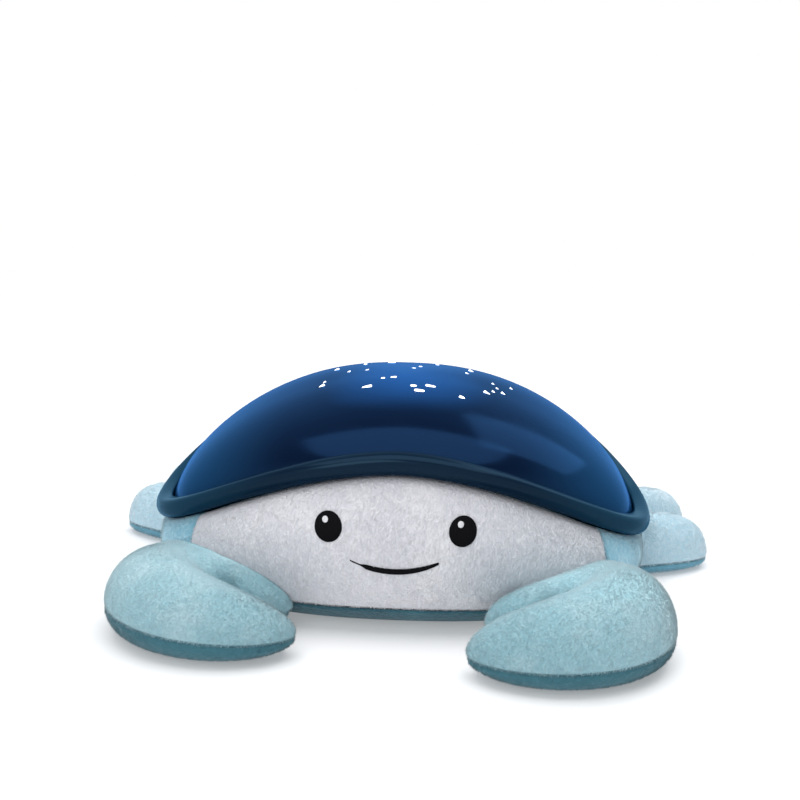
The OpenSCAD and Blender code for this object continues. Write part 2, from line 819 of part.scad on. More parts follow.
module battery_door() {
  top = floor_top - fit_gap - tub_z;
  color(housing_white) difference() {
    union() {
      centred_block(bay_x, 0, tub_z, [door_l, door_w, min(door_t, top)]);
      centred_block(door_tab_x, 0, tub_z, [door_tab_size.x, door_tab_size.y, min(door_t, top)]);
      for (y = [-knuckle_y, knuckle_y]) {
        translate([0, y, 0]) hinge_bar(hinge_r, knuckle_l);
        centred_block(hinge_x + hinge_arm/2, y, tub_z, [hinge_arm, knuckle_l, min(door_t, top)]);
      }
    }
    hinge_bar(hinge_pin_r + play, hinge_box_l);
    translate([door_screw_x, 0, tub_z - 1]) cylinder(d = screw_hole_d, h = door_t + 2);
    translate([door_screw_x, 0, tub_z - 1]) cylinder(d = screw_head_d + 0.6, h = 1 + door_recess);
    for (i = [0:4])
      centred_block(bay_x + door_l/2 - 8 - 2*grip_w*i, 0, tub_z - 1, [grip_w, door_w*0.4, 1 + grip_w/2]);
  }
}

// The captive screw of the door: a flat head in its recess and a short shank
module door_screw() {
  color(steel) translate([door_screw_x, 0, tub_z + door_recess - door_head_h]) {
    cylinder(d = screw_head_d, h = door_head_h);
    cylinder(d = screw_d, h = door_head_h + door_screw_l);
  }
}

module tub_screws() {
  color(steel) tub_screw_places() translate([0, 0, tub_boss_z]) mirror([0, 0, 1]) screw(16);
}

// Cells and contacts

module cell_places() {
  for (i = [0:cell_count - 1])
    translate([bay_x, (i - (cell_count - 1)/2)*cell_pitch, cell_z]) mirror([i%2, 0, 0]) children();
}

nub_d = 5.5;
nub_l = 1.3;
cell_from = -bay_l/2 + contact_t + contact_gap + spring_l;

module battery_cells() {
  color(dark) cell_places() translate([cell_from, 0, 0]) rotate([0, 90, 0]) {
    cylinder(d = cell_d, h = cell_l - nub_l);
    translate([0, 0, cell_l - nub_l - small]) cylinder(d = nub_d, h = nub_l + small);
  }
}

// A contact spring: a conical coil of one unbroken wire
spring_turns = 3;
spring_r = 4.2;
spring_top_r = 2.6;
spring_sides = 6;
spring_rings = 8;
spring_rise = (spring_l - 2*contact_gap - spring_wire)/spring_turns;

function spring_point(k) =
  let (u = k/(spring_turns*spring_rings), r = blend(spring_r, spring_top_r, u), a = 360*k/spring_rings)
  [spring_wire/2 + contact_gap + spring_rise*spring_turns*u, r*cos(a), r*sin(a)];

function spring_ring(k) =
  let (c = spring_point(k), a = 360*k/spring_rings)
  [for (j = [0:1:spring_sides - 1])
    let (b = 360*j/spring_sides, out = spring_wire/2*cos(b))
    c + [spring_wire/2*sin(b), out*cos(a), out*sin(a)]];

spring_self_gap = spring_rise - spring_wire;
echo(spring_self_gap = spring_self_gap);

module contact_springs() {
  count = spring_turns*spring_rings;
  color(steel) cell_places() translate([-bay_l/2 + contact_t, 0, 0])
    pole_solid([for (k = [0:1:count]) spring_ring(k)], spring_point(0), spring_point(count));
}

plate_size = 11;

module contact_plates() {
  color(steel) for (x = [-bay_l/2, bay_l/2 - contact_t], i = [0:cell_count - 1])
    translate([bay_x + x, (i - (cell_count - 1)/2)*cell_pitch - plate_size/2, cell_z - plate_size/2])
      cube([contact_t, plate_size, plate_size]);
}

// Loudspeaker, face down on its grille

speaker_z = floor_top + fit_gap;

module speaker_frame() {
  color(dark) translate([speaker_x, 0, speaker_z]) rotate_extrude() polygon([
    [speaker_r - 3, 0], [speaker_r, 0], [speaker_r, 1.6], [speaker_r - 2.4, 1.6], [10.5, 6.5], [10.5, 8.5],
    [4, 8.5], [4, 7.3], [9, 7.3], [9, 6], [speaker_r - 3, 1]
  ]);
}

module speaker_cone() {
  color("#3a3b40") translate([speaker_x, 0, speaker_z]) rotate_extrude() polygon([
    [speaker_r - 3.2, 0.3], [speaker_r - 3.2, 0.8], [6, 4.4], [3.6, 5.6],
    [0, 6], [0, 5.4], [3.4, 5], [5.8, 3.8]
  ]);
}

module speaker_magnet() {
  color(steel) translate([speaker_x, 0, speaker_z + 8.5]) cylinder(r = 9, h = 5);
}

// Deck: the plate that carries the mechanism

deck_z = flange_top;
deck_top = deck_z + deck_t;
deck_hole_r = collar_r - 3.5;
collar_h = 4.2;

pitch_ring = ring_teeth*gear_m/2;
pitch_idler = idler_teeth*gear_m/2;
pitch_pinion = pinion_teeth*gear_m/2;
idler_at = [-(pitch_ring + pitch_pinion), 0];
motor_turn = 125;
motor_at = idler_at + (pitch_idler + pitch_pinion)*[cos(motor_turn), sin(motor_turn)];
motor_socket_r = motor_d/2 + fit_gap + 1.5;
deck_edge = 4.75;
deck_l = 2*(motor_socket_r - motor_at.x + deck_edge);
deck_d = tub_d - 20;
deck_r = tub_r - 4;
gear_room = 2.4;
flange_open_a = pitch_pinion + gear_m - motor_at.x + gear_room;
flange_open_b = 1.18*(pitch_pinion + gear_m + motor_at.y + gear_room);
run_gap = 0.4;
bearing_h = 0.6;
bearing_r = 4;
motor_boss_d = 5;
motor_socket_h = 5;
mask_r = 36;
mask_wall = 1.8;
mask_flange_r = 41;
mask_flange_t = 1.8;
mask_screw_r = 38.6;
mask_hole_r = 1.5;
mask_ray = 40;

deck_screw_y = motor_at.y + motor_socket_r + screw_head_d/2 + fit_gap;

module deck_screw_places() {
  for (x = [-1, 1], y = [-1, 1]) translate([-x*motor_at.x, y*deck_screw_y, 0]) children();
}

module mask_screw_places() {
  for (a = [30, 150, 270]) rotate(a) translate([mask_screw_r, 0, 0]) children();
}

module mechanism_deck() {
  color(housing_white) difference() {
    union() {
      translate([0, 0, deck_z]) rounded_block([deck_l, deck_d], deck_r, deck_t);
      translate([0, 0, deck_top - small]) cylinder(r = collar_r, h = collar_h);
      translate([idler_at.x, idler_at.y, deck_z - bearing_h])
        cylinder(r = bearing_r, h = deck_t + 2*bearing_h);
      translate([motor_at.x, motor_at.y, deck_top - small])
        cylinder(r = motor_socket_r, h = motor_socket_h);
    }
    translate([0, 0, deck_z - 1]) cylinder(r = deck_hole_r, h = deck_t + collar_h + 2);
    translate([idler_at.x, idler_at.y, deck_z - 2]) cylinder(d = idler_shaft_d + 2*play, h = deck_t + 4);
    translate([motor_at.x, motor_at.y, deck_z - 1]) cylinder(d = motor_boss_d + 2*fit_gap, h = deck_t + 2);
    translate([motor_at.x, motor_at.y, deck_top]) cylinder(d = motor_d + 2*fit_gap, h = motor_socket_h + 1);
    deck_screw_places() translate([0, 0, deck_z - 1]) cylinder(d = screw_hole_d, h = deck_t + 2);
    mask_screw_places() translate([0, 0, deck_z - 1]) cylinder(d = screw_hole_d, h = deck_t + 2);
    bracket_screw_places() translate([0, 0, deck_z - 1]) cylinder(d = screw_hole_d, h = deck_t + 2);
  }
}

module deck_screws() {
  color(steel) deck_screw_places() translate([0, 0, deck_top]) screw(6);
}

module mask_screws() {
  color(steel) mask_screw_places() translate([0, 0, deck_top + mask_flange_t])
    screw(mask_flange_t + deck_t - fit_gap);
}

mask_z = deck_top + 10;

module aperture_mask() {
  color(dark) difference() {
    union() {
      translate([0, 0, mask_z]) sphere(r = mask_r);
      translate([0, 0, deck_top]) cylinder(r = mask_r, h = mask_z - deck_top);
      translate([0, 0, deck_top]) cylinder(r = mask_flange_r, h = mask_flange_t);
    }
    translate([0, 0, mask_z]) sphere(r = mask_r - mask_wall);
    translate([0, 0, deck_top - 1]) cylinder(r = mask_r - mask_wall, h = mask_z - deck_top + 1);
    translate([0, 0, deck_top - mask_r]) cylinder(r = mask_r*2, h = mask_r);
    translate([idler_at.x, idler_at.y, deck_top - 1])
      cylinder(r = pitch_pinion + gear_m + 1.2, h = bearing_h + 2*run_gap + gear_w + 3);
    mask_screw_places() translate([0, 0, deck_top - 1])
      cylinder(d = screw_hole_d, h = mask_flange_t + 2);
    window_rays(mask_hole_r, mask_ray, -dome_wall);
  }
}

// Boards

module main_board() {
  color(board_green) translate([0, 0, board_z]) difference() {
    rounded_block([board_l, board_w], 3, board_t);
    board_screw_places() translate([0, 0, -1]) cylinder(d = screw_hole_d, h = board_t + 2);
  }
}

module board_screws() {
  color(steel) board_screw_places() translate([0, 0, board_top]) screw(7);
}

// The sound chip, two capacitors and three plug sockets
module board_parts() {
  color(dark) translate([0, 0, board_top]) {
    centred_block(26, 16, 0, [12, 8, 1.6]);
    centred_block(30, -14, 0, [7, 5, 1.2]);
    translate([18, -25, 0]) cylinder(d = 5, h = 6);
    translate([26, -25, 0]) cylinder(d = 5, h = 6);
    for (y = [-6, 4]) centred_block(42, y, 0, [5, 8, 4.5]);
    centred_block(-16, 30, 0, [8, 5, 4.5]);
  }
}

led_r = 2.5;
led_ring = 5.5;
led_h = 6;

module lamp_leds() {
  color("#f4f4f0") for (i = [0:2]) rotate(120*i + 90) translate([led_ring, 0, board_top]) {
    cylinder(r = led_r + 0.4, h = 1);
    cylinder(r = led_r, h = led_h);
    translate([0, 0, led_h]) intersection() {
      sphere(r = led_r);
      cylinder(r = led_r, h = led_r);
    }
  }
}

cone_wall = 1.2;
cone_r = 10;
cone_top_r = 20;
cone_top = deck_z + deck_t - 0.4;

module light_cone() {
  color(gear_white) rotate_extrude() polygon([
    [cone_r, board_top], [cone_r + cone_wall, board_top], [cone_top_r + cone_wall, cone_top - 1.2],
    [deck_hole_r - fit_gap, cone_top - 1.2], [deck_hole_r - fit_gap, cone_top], [cone_top_r, cone_top]
  ]);
}

// Gears with involute flanks

pressure = 25;
addendum = 0.9;
dedendum = 1.3;
backlash = 0.16;
flank_steps = 4;

function involute_angle(rb, r) = let (a = acos(min(1, rb/r))) tan(a)*180/PI - a;

// Half of a tooth's angle at the radius r
function tooth_half(n, r) =
  let (rp = n*gear_m/2, rb = rp*cos(pressure))
  90/n + involute_angle(rb, rp) - involute_angle(rb, max(r, rb)) - backlash/rp*180/PI;

function gear_points(n) =
  let (rp = n*gear_m/2, rb = rp*cos(pressure), root = rp - dedendum*gear_m, tip = rp + addendum*gear_m,
       low = max(rb, root + small),
       radii = concat([root], [for (i = [0:flank_steps]) blend(low, tip, i/flank_steps)]))
  [for (k = [0:n - 1], side = [-1, 1], i = [0:len(radii) - 1])
    let (r = radii[side < 0 ? i : len(radii) - 1 - i], a = 360*k/n + side*tooth_half(n, r))
    r*[cos(a), sin(a)]];

module gear(n, bore_d, h) {
  linear_extrude(h) difference() {
    polygon(gear_points(n));
    circle(d = bore_d);
  }
}

pinion_z = deck_top + bearing_h + run_gap;
idler_z = deck_z - bearing_h - run_gap - gear_w;
hub_gap = 0.02;
disc_t = 2;
ring_z = deck_top + 0.3;
ring_h = collar_h + 0.4;
disc_z = ring_z + ring_h;

module ring_gear() {
  color(gear_white) translate([0, 0, ring_z]) gear(ring_teeth, 2*(collar_r + 2*play), ring_h);
}

disc_r = pitch_ring - 2;
ripple_h = 0.9;
ripple_r = 7;
ripple_rows = 3;
ripple_count = 5;
ripple_pitch = disc_r/3.6;

// The cap of a ball, standing on the disc
module ripple() {
  intersection() {
    translate([0, 0, ripple_h - ripple_r]) sphere(r = ripple_r);
    translate([0, 0, -small]) cylinder(r = ripple_r, h = ripple_h + small);
  }
}

// A clear disc with rows of shallow humps, each row turned against the last
module ripple_disc() {
  color("#dcebf2", 0.5) translate([0, 0, disc_z]) {
    cylinder(r = disc_r, h = disc_t);
    for (row = [1:ripple_rows], i = [0:row*ripple_count - 1])
      rotate(360*i/(row*ripple_count) + 20*row) translate([row*ripple_pitch, 0, disc_t]) ripple();
  }
}

module idler_shaft() {
  color(steel) translate([idler_at.x, idler_at.y, idler_z - 1])
    cylinder(d = idler_shaft_d, h = pinion_z + gear_w - idler_z + 1.4);
}

module idler_gear() {
  color(gear_white) translate([idler_at.x, idler_at.y, idler_z])
    rotate(motor_turn) gear(idler_teeth, idler_shaft_d + 2*hub_gap, gear_w);
}

module idler_pinion() {
  color(gear_white) translate([idler_at.x, idler_at.y, pinion_z])
    rotate(180/pinion_teeth) gear(pinion_teeth, idler_shaft_d + 2*hub_gap, gear_w);
}

module motor_can() {
  color(steel) translate([motor_at.x, motor_at.y, 0]) difference() {
    union() {
      translate([0, 0, deck_top]) cylinder(d = motor_d, h = motor_h);
      translate([0, 0, deck_z + 0.2]) cylinder(d = motor_boss_d, h = deck_t);
      translate([0, 0, deck_top + motor_h - small]) cylinder(d = motor_boss_d, h = 1.2);
    }
    translate([0, 0, deck_z - 1]) cylinder(d = motor_shaft_d + 2*play, h = deck_t + motor_h - 1);
  }
}

module motor_shaft() {
  color(steel) translate([motor_at.x, motor_at.y, idler_z - 0.4])
    cylinder(d = motor_shaft_d, h = deck_top + motor_h - 3 - idler_z);
}

module motor_pinion() {
  color("#c9a648") translate([motor_at.x, motor_at.y, idler_z])
    rotate(motor_turn + 180 + 180/pinion_teeth) gear(pinion_teeth, motor_shaft_d + 2*hub_gap, gear_w);
}

module projection_windows() {
  color("#f6fbff", 0.8) window_rays(window_r - 0.06, dome_wall + 0.4, 0.1);
}

// Controls on the back of the dome

button_phi = 26;
button_gap = 0.35;
dome_hole_depth = 9;
mic_port_r = 0.9;

// The place on the dome x across, on the row of buttons
function row_point(x) =
  let (reach = (half_w - dome_inset)*pow(cos(button_phi), 2/dome_n),
       t = acos(signed_power(x/reach, shell_n/2)))
  dome_point(t, button_phi, 0);

function button_x(i) = (i - 1.5)*button_pitch;
row_origin = let (p = (row_point(button_x(0)) + row_point(button_x(1)))/2) [0, p.y, p.z];

// A place on the dome in the row's own frame, whose z is the buttons' axis
function in_row(p) =
  let (q = p - row_origin)
  [q.x, q.y*sin(button_tilt) - q.z*cos(button_tilt), q.y*cos(button_tilt) + q.z*sin(button_tilt)];

module row_frame() {
  translate(row_origin) rotate([button_tilt - 90, 0, 0]) children();
}

module button_axis(i) {
  row_frame() translate(in_row(row_point(button_x(i)))) children();
}

module mic_axis() {
  row_frame() translate(in_row(row_point(0))) children();
}

switch_depth = 12.4;
switch_board_t = 1.6;
switch_body = [6, 6, 3.5];
switch_knob_h = 0.9;
stem_gap = 0.15;
switch_board_z = in_row(row_point(button_x(0))).z - switch_depth;
switch_board_h = 11;
switch_board_w = 3*button_pitch + 16;
flange_from = -6.2;
flange_h = 1.5;

// A push button: crowned cap, a collar that keeps it in, and a stem down to its switch
module button(i) {
  above = in_row(row_point(button_x(i))).z - switch_board_z;
  stem = above - switch_body.z - switch_knob_h - button_travel - stem_gap;
  button_axis(i) {
    intersection() {
      translate([0, 0, flange_from]) cylinder(d = button_d, h = button_proud - flange_from);
      translate([0, 0, button_proud - button_d]) sphere(r = button_d);
    }
    translate([0, 0, flange_from]) cylinder(d = button_d + 3, h = flange_h);
    translate([0, 0, -stem]) cylinder(d = 4, h = stem + flange_from + 1);
  }
}

module volume_down_button() {
  color("#d7e3ea") button(0);
}

module light_button() {
  color("#d7e3ea") button(1);
}

module sound_button() {
  color("#d7e3ea") button(2);
}

module volume_up_button() {
  color("#d7e3ea") button(3);
}

module tact_switches() {
  color(dark) row_frame() for (i = [0:3]) {
    p = in_row(row_point(button_x(i)));
    translate([p.x, p.y, switch_board_z]) {
      translate([-switch_body.x/2, -switch_body.y/2, 0]) cube(switch_body);
      cylinder(d = 3.2, h = switch_body.z + switch_knob_h);
    }
  }
}

module button_board() {
  color(board_green) row_frame() translate([0, 0, switch_board_z - switch_board_t])
    rounded_block([switch_board_w, switch_board_h], 2, switch_board_t);
}

module microphone() {
  color(steel) row_frame() translate([0, in_row(row_point(0)).y, switch_board_z]) {
    cylinder(d = 6, h = 2.7);
    cylinder(d = 1.6, h = 2.9);
  }
}

bracket_x = 27.5;
bracket_rib = 3;
bracket_plate = 2;
bracket_foot = [11, 8, 2];
bracket_foot_y = deck_d/2 - 5;

module bracket_screw_places() {
  for (x = [-1, 1]) translate([x*(bracket_x + bracket_foot.x/2 + 0.2), bracket_foot_y, 0]) children();
}

// The bracket that holds the button board up from the deck
module button_bracket() {
  plate_z = switch_board_z - switch_board_t - bracket_plate;
  centre = row_origin + plate_z*[0, cos(button_tilt), sin(button_tilt)];
  slope = [sin(button_tilt), -cos(button_tilt)]*(switch_board_h/2 - 1);
  low = [centre.y, centre.z] + slope;
  high = [centre.y, centre.z] - slope;
  foot = bracket_foot_y;
  color(housing_white) difference() {
    union() {
      row_frame() translate([0, 0, plate_z])
        rounded_block([switch_board_w - 1, switch_board_h - 1], 2, bracket_plate);
      for (x = [-1, 1]) {
        translate([x*bracket_x + bracket_rib/2, 0, 0]) rotate([90, 0, -90]) mirror([1, 0, 0])
          linear_extrude(bracket_rib) polygon([
            [foot - 4, deck_top], [foot + 4, deck_top], low + [0.4, 0.5], high + [0.4, 0.5]
          ]);
        centred_block(x*(bracket_x + bracket_foot.x/2 - bracket_rib/2), foot, deck_top, bracket_foot);
      }
    }
    bracket_screw_places() translate([0, 0, deck_top - 1])
      cylinder(d = screw_hole_d, h = bracket_foot.z + 2);
  }
}

module bracket_screws() {
  color(steel) bracket_screw_places() translate([0, 0, deck_top + bracket_foot.z])
    screw(bracket_foot.z + deck_t - fit_gap);
}

// Mode switch in the floor of the tub

mode_body = [17, 8, 6];
slider_knob = [8, 5, 1.3];
slider_rise = 1.2;

module mode_switch() {
  color(dark) difference() {
    centred_block(slider_x, slider_y, floor_top, mode_body);
    centred_block(slider_x, slider_y, floor_top - 1, [slider_slot.x, slider_slot.y, 1 + slider_rise + 0.4]);
  }
}

module mode_slider() {
  color(dark) {
    centred_block(slider_x, slider_y, tub_z - fit_gap - slider_knob.z, slider_knob);
    centred_block(slider_x, slider_y, tub_z - fit_gap - small,
      [slider_neck.x, slider_neck.y, floor_t + fit_gap + slider_rise]);
  }
}

// Everything stands with the middle of its outline over the origin
layout = [-4, 21, 0];

module placed() {
  translate(layout) children();
}

placed() plush_body();
placed() face_panel();
placed() belly_panel();
placed() left_claw();
placed() right_claw();
placed() left_front_leg();
placed() left_rear_leg();
placed() right_front_leg();
placed() right_rear_leg();
placed() left_eye();
placed() right_eye();
placed() mouth();
placed() shell_dome();
placed() rim_shell();
placed() base_tub();
placed() projection_windows();
placed() aperture_mask();
placed() mechanism_deck();
placed() mask_screws();
placed() deck_screws();
placed() tub_screws();
placed() motor_can();
placed() motor_shaft();
placed() motor_pinion();
placed() idler_shaft();
placed() idler_gear();
placed() idler_pinion();
placed() ring_gear();
placed() ripple_disc();
placed() main_board();
placed() board_screws();
placed() board_parts();
placed() lamp_leds();
placed() light_cone();
placed() speaker_frame();
placed() speaker_cone();
placed() speaker_magnet();
placed() battery_cells();
placed() contact_springs();
placed() contact_plates();
placed() battery_door();
placed() door_hinge_pin();
placed() door_screw();
placed() light_button();
placed() sound_button();
placed() volume_up_button();
placed() volume_down_button();
placed() button_board();
placed() tact_switches();
placed() microphone();
placed() button_bracket();
placed() bracket_screws();
placed() mode_switch();
placed() mode_slider();
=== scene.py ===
# %% [markdown]
# # A plush crab that throws waves of light on the ceiling
#
# The real object is a stuffed toy with a tinted plastic shell on its back. A lamp, a slowly turning rippled
# disc and a small motor hide in the shell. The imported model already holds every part, so it is loaded first
# and kept as a fixed frame: soft and glossy parts get finer skins here, and the rest keeps its own solids.

# %% Load the frame
import json
import math

import bmesh
import bpy
import numpy as np
from mathutils import Matrix


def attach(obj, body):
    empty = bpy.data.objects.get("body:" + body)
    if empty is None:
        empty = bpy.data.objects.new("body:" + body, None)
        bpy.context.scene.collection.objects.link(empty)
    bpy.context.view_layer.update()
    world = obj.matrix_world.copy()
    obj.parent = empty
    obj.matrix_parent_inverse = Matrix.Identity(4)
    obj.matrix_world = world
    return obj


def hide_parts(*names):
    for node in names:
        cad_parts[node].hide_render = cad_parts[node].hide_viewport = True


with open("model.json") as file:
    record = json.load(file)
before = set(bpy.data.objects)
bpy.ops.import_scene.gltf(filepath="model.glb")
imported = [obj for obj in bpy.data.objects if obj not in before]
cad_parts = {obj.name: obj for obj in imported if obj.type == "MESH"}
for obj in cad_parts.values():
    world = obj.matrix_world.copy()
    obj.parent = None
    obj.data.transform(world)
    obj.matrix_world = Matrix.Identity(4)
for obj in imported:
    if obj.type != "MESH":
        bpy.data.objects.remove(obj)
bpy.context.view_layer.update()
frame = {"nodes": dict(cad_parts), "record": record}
scene = bpy.context.scene
scene.view_settings.view_transform = "Standard"

# %% [markdown]
# ## Where the camera stands
#
# The toy was photographed from a little above, almost from the front. A camera can be aimed with a
# constraint, but three axes worked out one by one also give the slight tilt of the picture, so its matrix is
# written directly. All shapes below are in millimetres about the upright axis of the dome, and one function
# takes them to the frame.

# %% Camera
AXIS = np.array([-4.0, 21.0, 0.0])


def to_row(points):
    """Millimetres about the dome's axis to metres in the frame: add the axis, then divide by a thousand."""
    return (np.asarray(points, float) + AXIS)/1000


def unit(v):
    """Vectors of length one: each is divided by the root of the sum of its squares."""
    return v/np.linalg.norm(v, axis=-1, keepdims=True)


def stand(obj, axes, place):
    """Puts an object in the scene by three axes and a place in metres, as the columns of its matrix."""
    matrix = np.eye(4)
    matrix[:3] = np.stack([*axes, place], -1)
    obj.matrix_world = Matrix(matrix.tolist())
    scene.collection.objects.link(obj)


def set_camera(elevation, yaw, roll, distance, aim, lens, shift):
    """Stands the camera at a distance from the aim; its right and up axes turn about the view by the roll."""
    e, a, r = np.radians([elevation, yaw, roll])
    back = np.array([math.sin(a)*math.cos(e), -math.cos(a)*math.cos(e), math.sin(e)])
    level = np.array([math.cos(a), math.sin(a), 0])
    above = np.cross(back, level)
    right = math.cos(r)*level + math.sin(r)*above
    up = math.cos(r)*above - math.sin(r)*level
    camera = bpy.data.objects.new("camera", bpy.data.cameras.new("camera"))
    stand(camera, (right, up, back), to_row(aim) + distance/1000*back)
    camera.data.lens = lens
    camera.data.shift_x, camera.data.shift_y = shift
    scene.camera = camera
    return camera


camera = set_camera(elevation=17, yaw=2, roll=1.5, distance=900, aim=[0, 0, 50], lens=83,
                    shift=(-0.005, 0.095))
print("camera stands at", [round(v, 3) for v in camera.matrix_world.translation])

# %% [markdown]
# ## From formulas to meshes
#
# A surface is worked out on a grid of two parameters, all points at once. Two helpers turn such a grid into
# a mesh: one numbers the corners of its quads, the other fills the mesh, closes seams and poles by merging
# points that coincide, and turns all faces outwards.

# %% Mesh helpers
def grid_quads(rows, cols, ring_rows=False, ring_cols=False):
    """Corner numbers of the quads of a grid stored row by row; a ring joins its last line to its first."""
    i, j = np.indices((rows - (not ring_rows), cols - (not ring_cols)))
    k, m = (i + 1) % rows, (j + 1) % cols
    return np.stack([i*cols + j, k*cols + j, k*cols + m, i*cols + m], -1).reshape(-1, 4)


def new_piece(name, points, quads, merge=0.02, crease=None):
    """A new object from points in mm: close points merged, faces outwards, smooth up to the crease angle."""
    mesh = bpy.data.meshes.new(name)
    faces = quads.tolist() if isinstance(quads, np.ndarray) else quads
    mesh.from_pydata(to_row(points).reshape(-1, 3).tolist(), [], faces)
    shape = bmesh.new()
    shape.from_mesh(mesh)
    bmesh.ops.remove_doubles(shape, verts=shape.verts, dist=merge/1000)
    bmesh.ops.dissolve_degenerate(shape, edges=shape.edges, dist=1e-7)
    bmesh.ops.recalc_face_normals(shape, faces=shape.faces)
    shape.to_mesh(mesh)
    shape.free()
    mesh.shade_smooth()
    if crease:
        mesh.set_sharp_from_angle(angle=math.radians(crease))
    mesh.update()
    obj = bpy.data.objects.new(name, mesh)
    scene.collection.objects.link(obj)
    return obj


def points_of(obj):
    """The object's points, in millimetres about the dome's axis."""
    flat = np.empty(len(obj.data.vertices)*3)
    obj.data.vertices.foreach_get("co", flat)
    return flat.reshape(-1, 3)*1000 - AXIS


def dress(obj, material):
    """Gives a piece one material in place of what it has."""
    obj.data.materials.clear()
    obj.data.materials.append(material)


def set_values(obj, name, values):
    """Stores one number per point as an attribute, which a material can read."""
    layer = obj.data.attributes.new(name, "FLOAT", "POINT")
    layer.data.foreach_set("value", np.asarray(values, np.float32))


def baked(obj):
    """Replaces the object's mesh by what its modifiers make of it."""
    shown = obj.evaluated_get(bpy.context.evaluated_depsgraph_get())
    old, obj.data = obj.data, bpy.data.meshes.new_from_object(shown)
    obj.modifiers.clear()
    obj.data.name = obj.name
    bpy.data.meshes.remove(old)
    return obj


print("mesh helpers ready")

# %% [markdown]
# ## Light, floor and colour helpers
#
# The toy stands in a white studio. A white floor could be had by flooding it with lamps, but then pale plush
# would burn out. Instead the world and the far floor are white where they are seen, the floor near the toy
# glows weakly and keeps its shadows, and the lamps stay at a level at which a colour renders about as
# written. Colours are written as they look on screen, so one function takes them to linear light, and one
# function adds any shader node with its settings and links.

# %% Colours and nodes
def linear(code, alpha=1.0):
    """Screen colour to linear light: low values divide by 12.92, the rest follow the 2.4 power."""
    c = np.array([int(code[k:k + 2], 16) for k in (1, 3, 5)])/255
    return (*np.where(c <= 0.04045, c/12.92, ((c + 0.055)/1.055)**2.4), alpha)


def add(owner, kind, sockets=(), **properties):
    """Adds a node to a material or world: properties go on the node, sockets take a value or a link."""
    tree = owner.node_tree
    node = tree.nodes.new("ShaderNode" + kind)
    for key, value in properties.items():
        setattr(node, key, value)
    for key, value in dict(sockets).items():
        if isinstance(value, bpy.types.NodeSocket):
            tree.links.new(value, node.inputs[key])
        else:
            node.inputs[key].default_value = value
    return node


def blank_material(name):
    """A material whose tree is empty, with its output left to join."""
    material = bpy.data.materials.new(name)
    material.use_nodes = True
    material.node_tree.nodes.clear()
    return material


def maths(owner, operation, *values):
    """The result of one operation on numbers or links."""
    return add(owner, "Math", dict(enumerate(values)), operation=operation).outputs[0]


def noise(material, place, scale, detail, rough=0.5):
    """Cloudy noise from 0 to 1, with scale clouds in a metre."""
    settings = {"Vector": place, "Scale": scale, "Detail": detail, "Roughness": rough}
    return add(material, "TexNoise", settings).outputs[0]


def between(material, factor, low, high):
    """The colour between two others by a factor."""
    return add(material, "Mix", {0: factor, 6: low, 7: high}, data_type="RGBA").outputs[2]


def ramped(material, value, start, end, low=0.0, high=1.0):
    """A value carried from start to end onto low to high, smoothly and held at both ends."""
    settings = {0: value, 1: start, 2: end, 3: low, 4: high}
    return add(material, "MapRange", settings, interpolation_type="SMOOTHSTEP").outputs[0]


def surfaced(material, shader):
    """Joins a shader to the material's output."""
    add(material, "OutputMaterial", {"Surface": shader.outputs[0]})
    return material


print("screen grey #808080 is", round(float(linear("#808080")[0]), 3), "in linear light")

# %% Studio
def seen_directly(owner):
    """1 for rays from the camera, off a mirror or through glass, and 0 for the light that falls on things."""
    path = add(owner, "LightPath").outputs
    either = maths(owner, "MAXIMUM", path["Is Camera Ray"], path["Is Glossy Ray"])
    return maths(owner, "MAXIMUM", either, path["Is Transmission Ray"])


def white_studio(ambient):
    """World: a white cove where it is seen, greyer overhead, and a softer even level as light."""
    world = bpy.data.worlds.new("white_studio")
    world.use_nodes = True
    world.node_tree.nodes.clear()
    upward = add(world, "SeparateXYZ", {0: add(world, "TexCoord").outputs["Generated"]}).outputs[2]
    cove = ramped(world, upward, 0.4, 0.9, 1.0, 0.15)
    light = add(world, "Background", {"Color": linear("#f2f6fb"), "Strength": ambient})
    seen = add(world, "Background", {"Color": linear("#ffffff"), "Strength": cove})
    mixed = add(world, "MixShader", {0: seen_directly(world), 1: light.outputs[0], 2: seen.outputs[0]})
    add(world, "OutputWorld", {"Surface": mixed.outputs[0]})
    scene.world = world


def studio_floor(glow):
    """A wide floor like a light table: matt with a weak glow, white where seen far off, clear from below."""
    corners = [[x, y, -0.3] for y in (-3000, 3000) for x in (-3000, 3000)]
    floor = new_piece("floor", corners, [[0, 1, 3, 2]])
    paint = blank_material("painted_studio_floor")
    place = add(paint, "TexCoord").outputs["Object"]
    far = add(paint, "VectorMath", {0: place}, operation="LENGTH").outputs["Value"]
    matt = add(paint, "BsdfDiffuse", {"Color": linear("#dcdcdd")})
    shine = add(paint, "Emission", {"Color": linear("#ffffff"), "Strength": glow})
    near = add(paint, "AddShader", {0: matt.outputs[0], 1: shine.outputs[0]})
    white = add(paint, "Emission", {"Color": linear("#ffffff"), "Strength": seen_directly(paint)})
    spread = {0: ramped(paint, far, 0.35, 0.8), 1: near.outputs[0], 2: white.outputs[0]}
    upper = add(paint, "MixShader", spread)
    below = add(paint, "NewGeometry").outputs["Backfacing"]
    clear = add(paint, "BsdfTransparent")
    surfaced(paint, add(paint, "MixShader", {0: below, 1: upper.outputs[0], 2: clear.outputs[0]}))
    dress(floor, paint)


def soft_lamp(name, place, aim, size, power):
    """A square lamp in metres that faces its aim: its third axis points away from the aim."""
    lamp = bpy.data.objects.new(name, bpy.data.lights.new(name, "AREA"))
    lamp.data.size, lamp.data.energy = size, power
    away = unit(np.subtract(place, aim))
    side = unit(np.cross([0, 1, 0.01], away))
    stand(lamp, (side, np.cross(away, side), away), place)


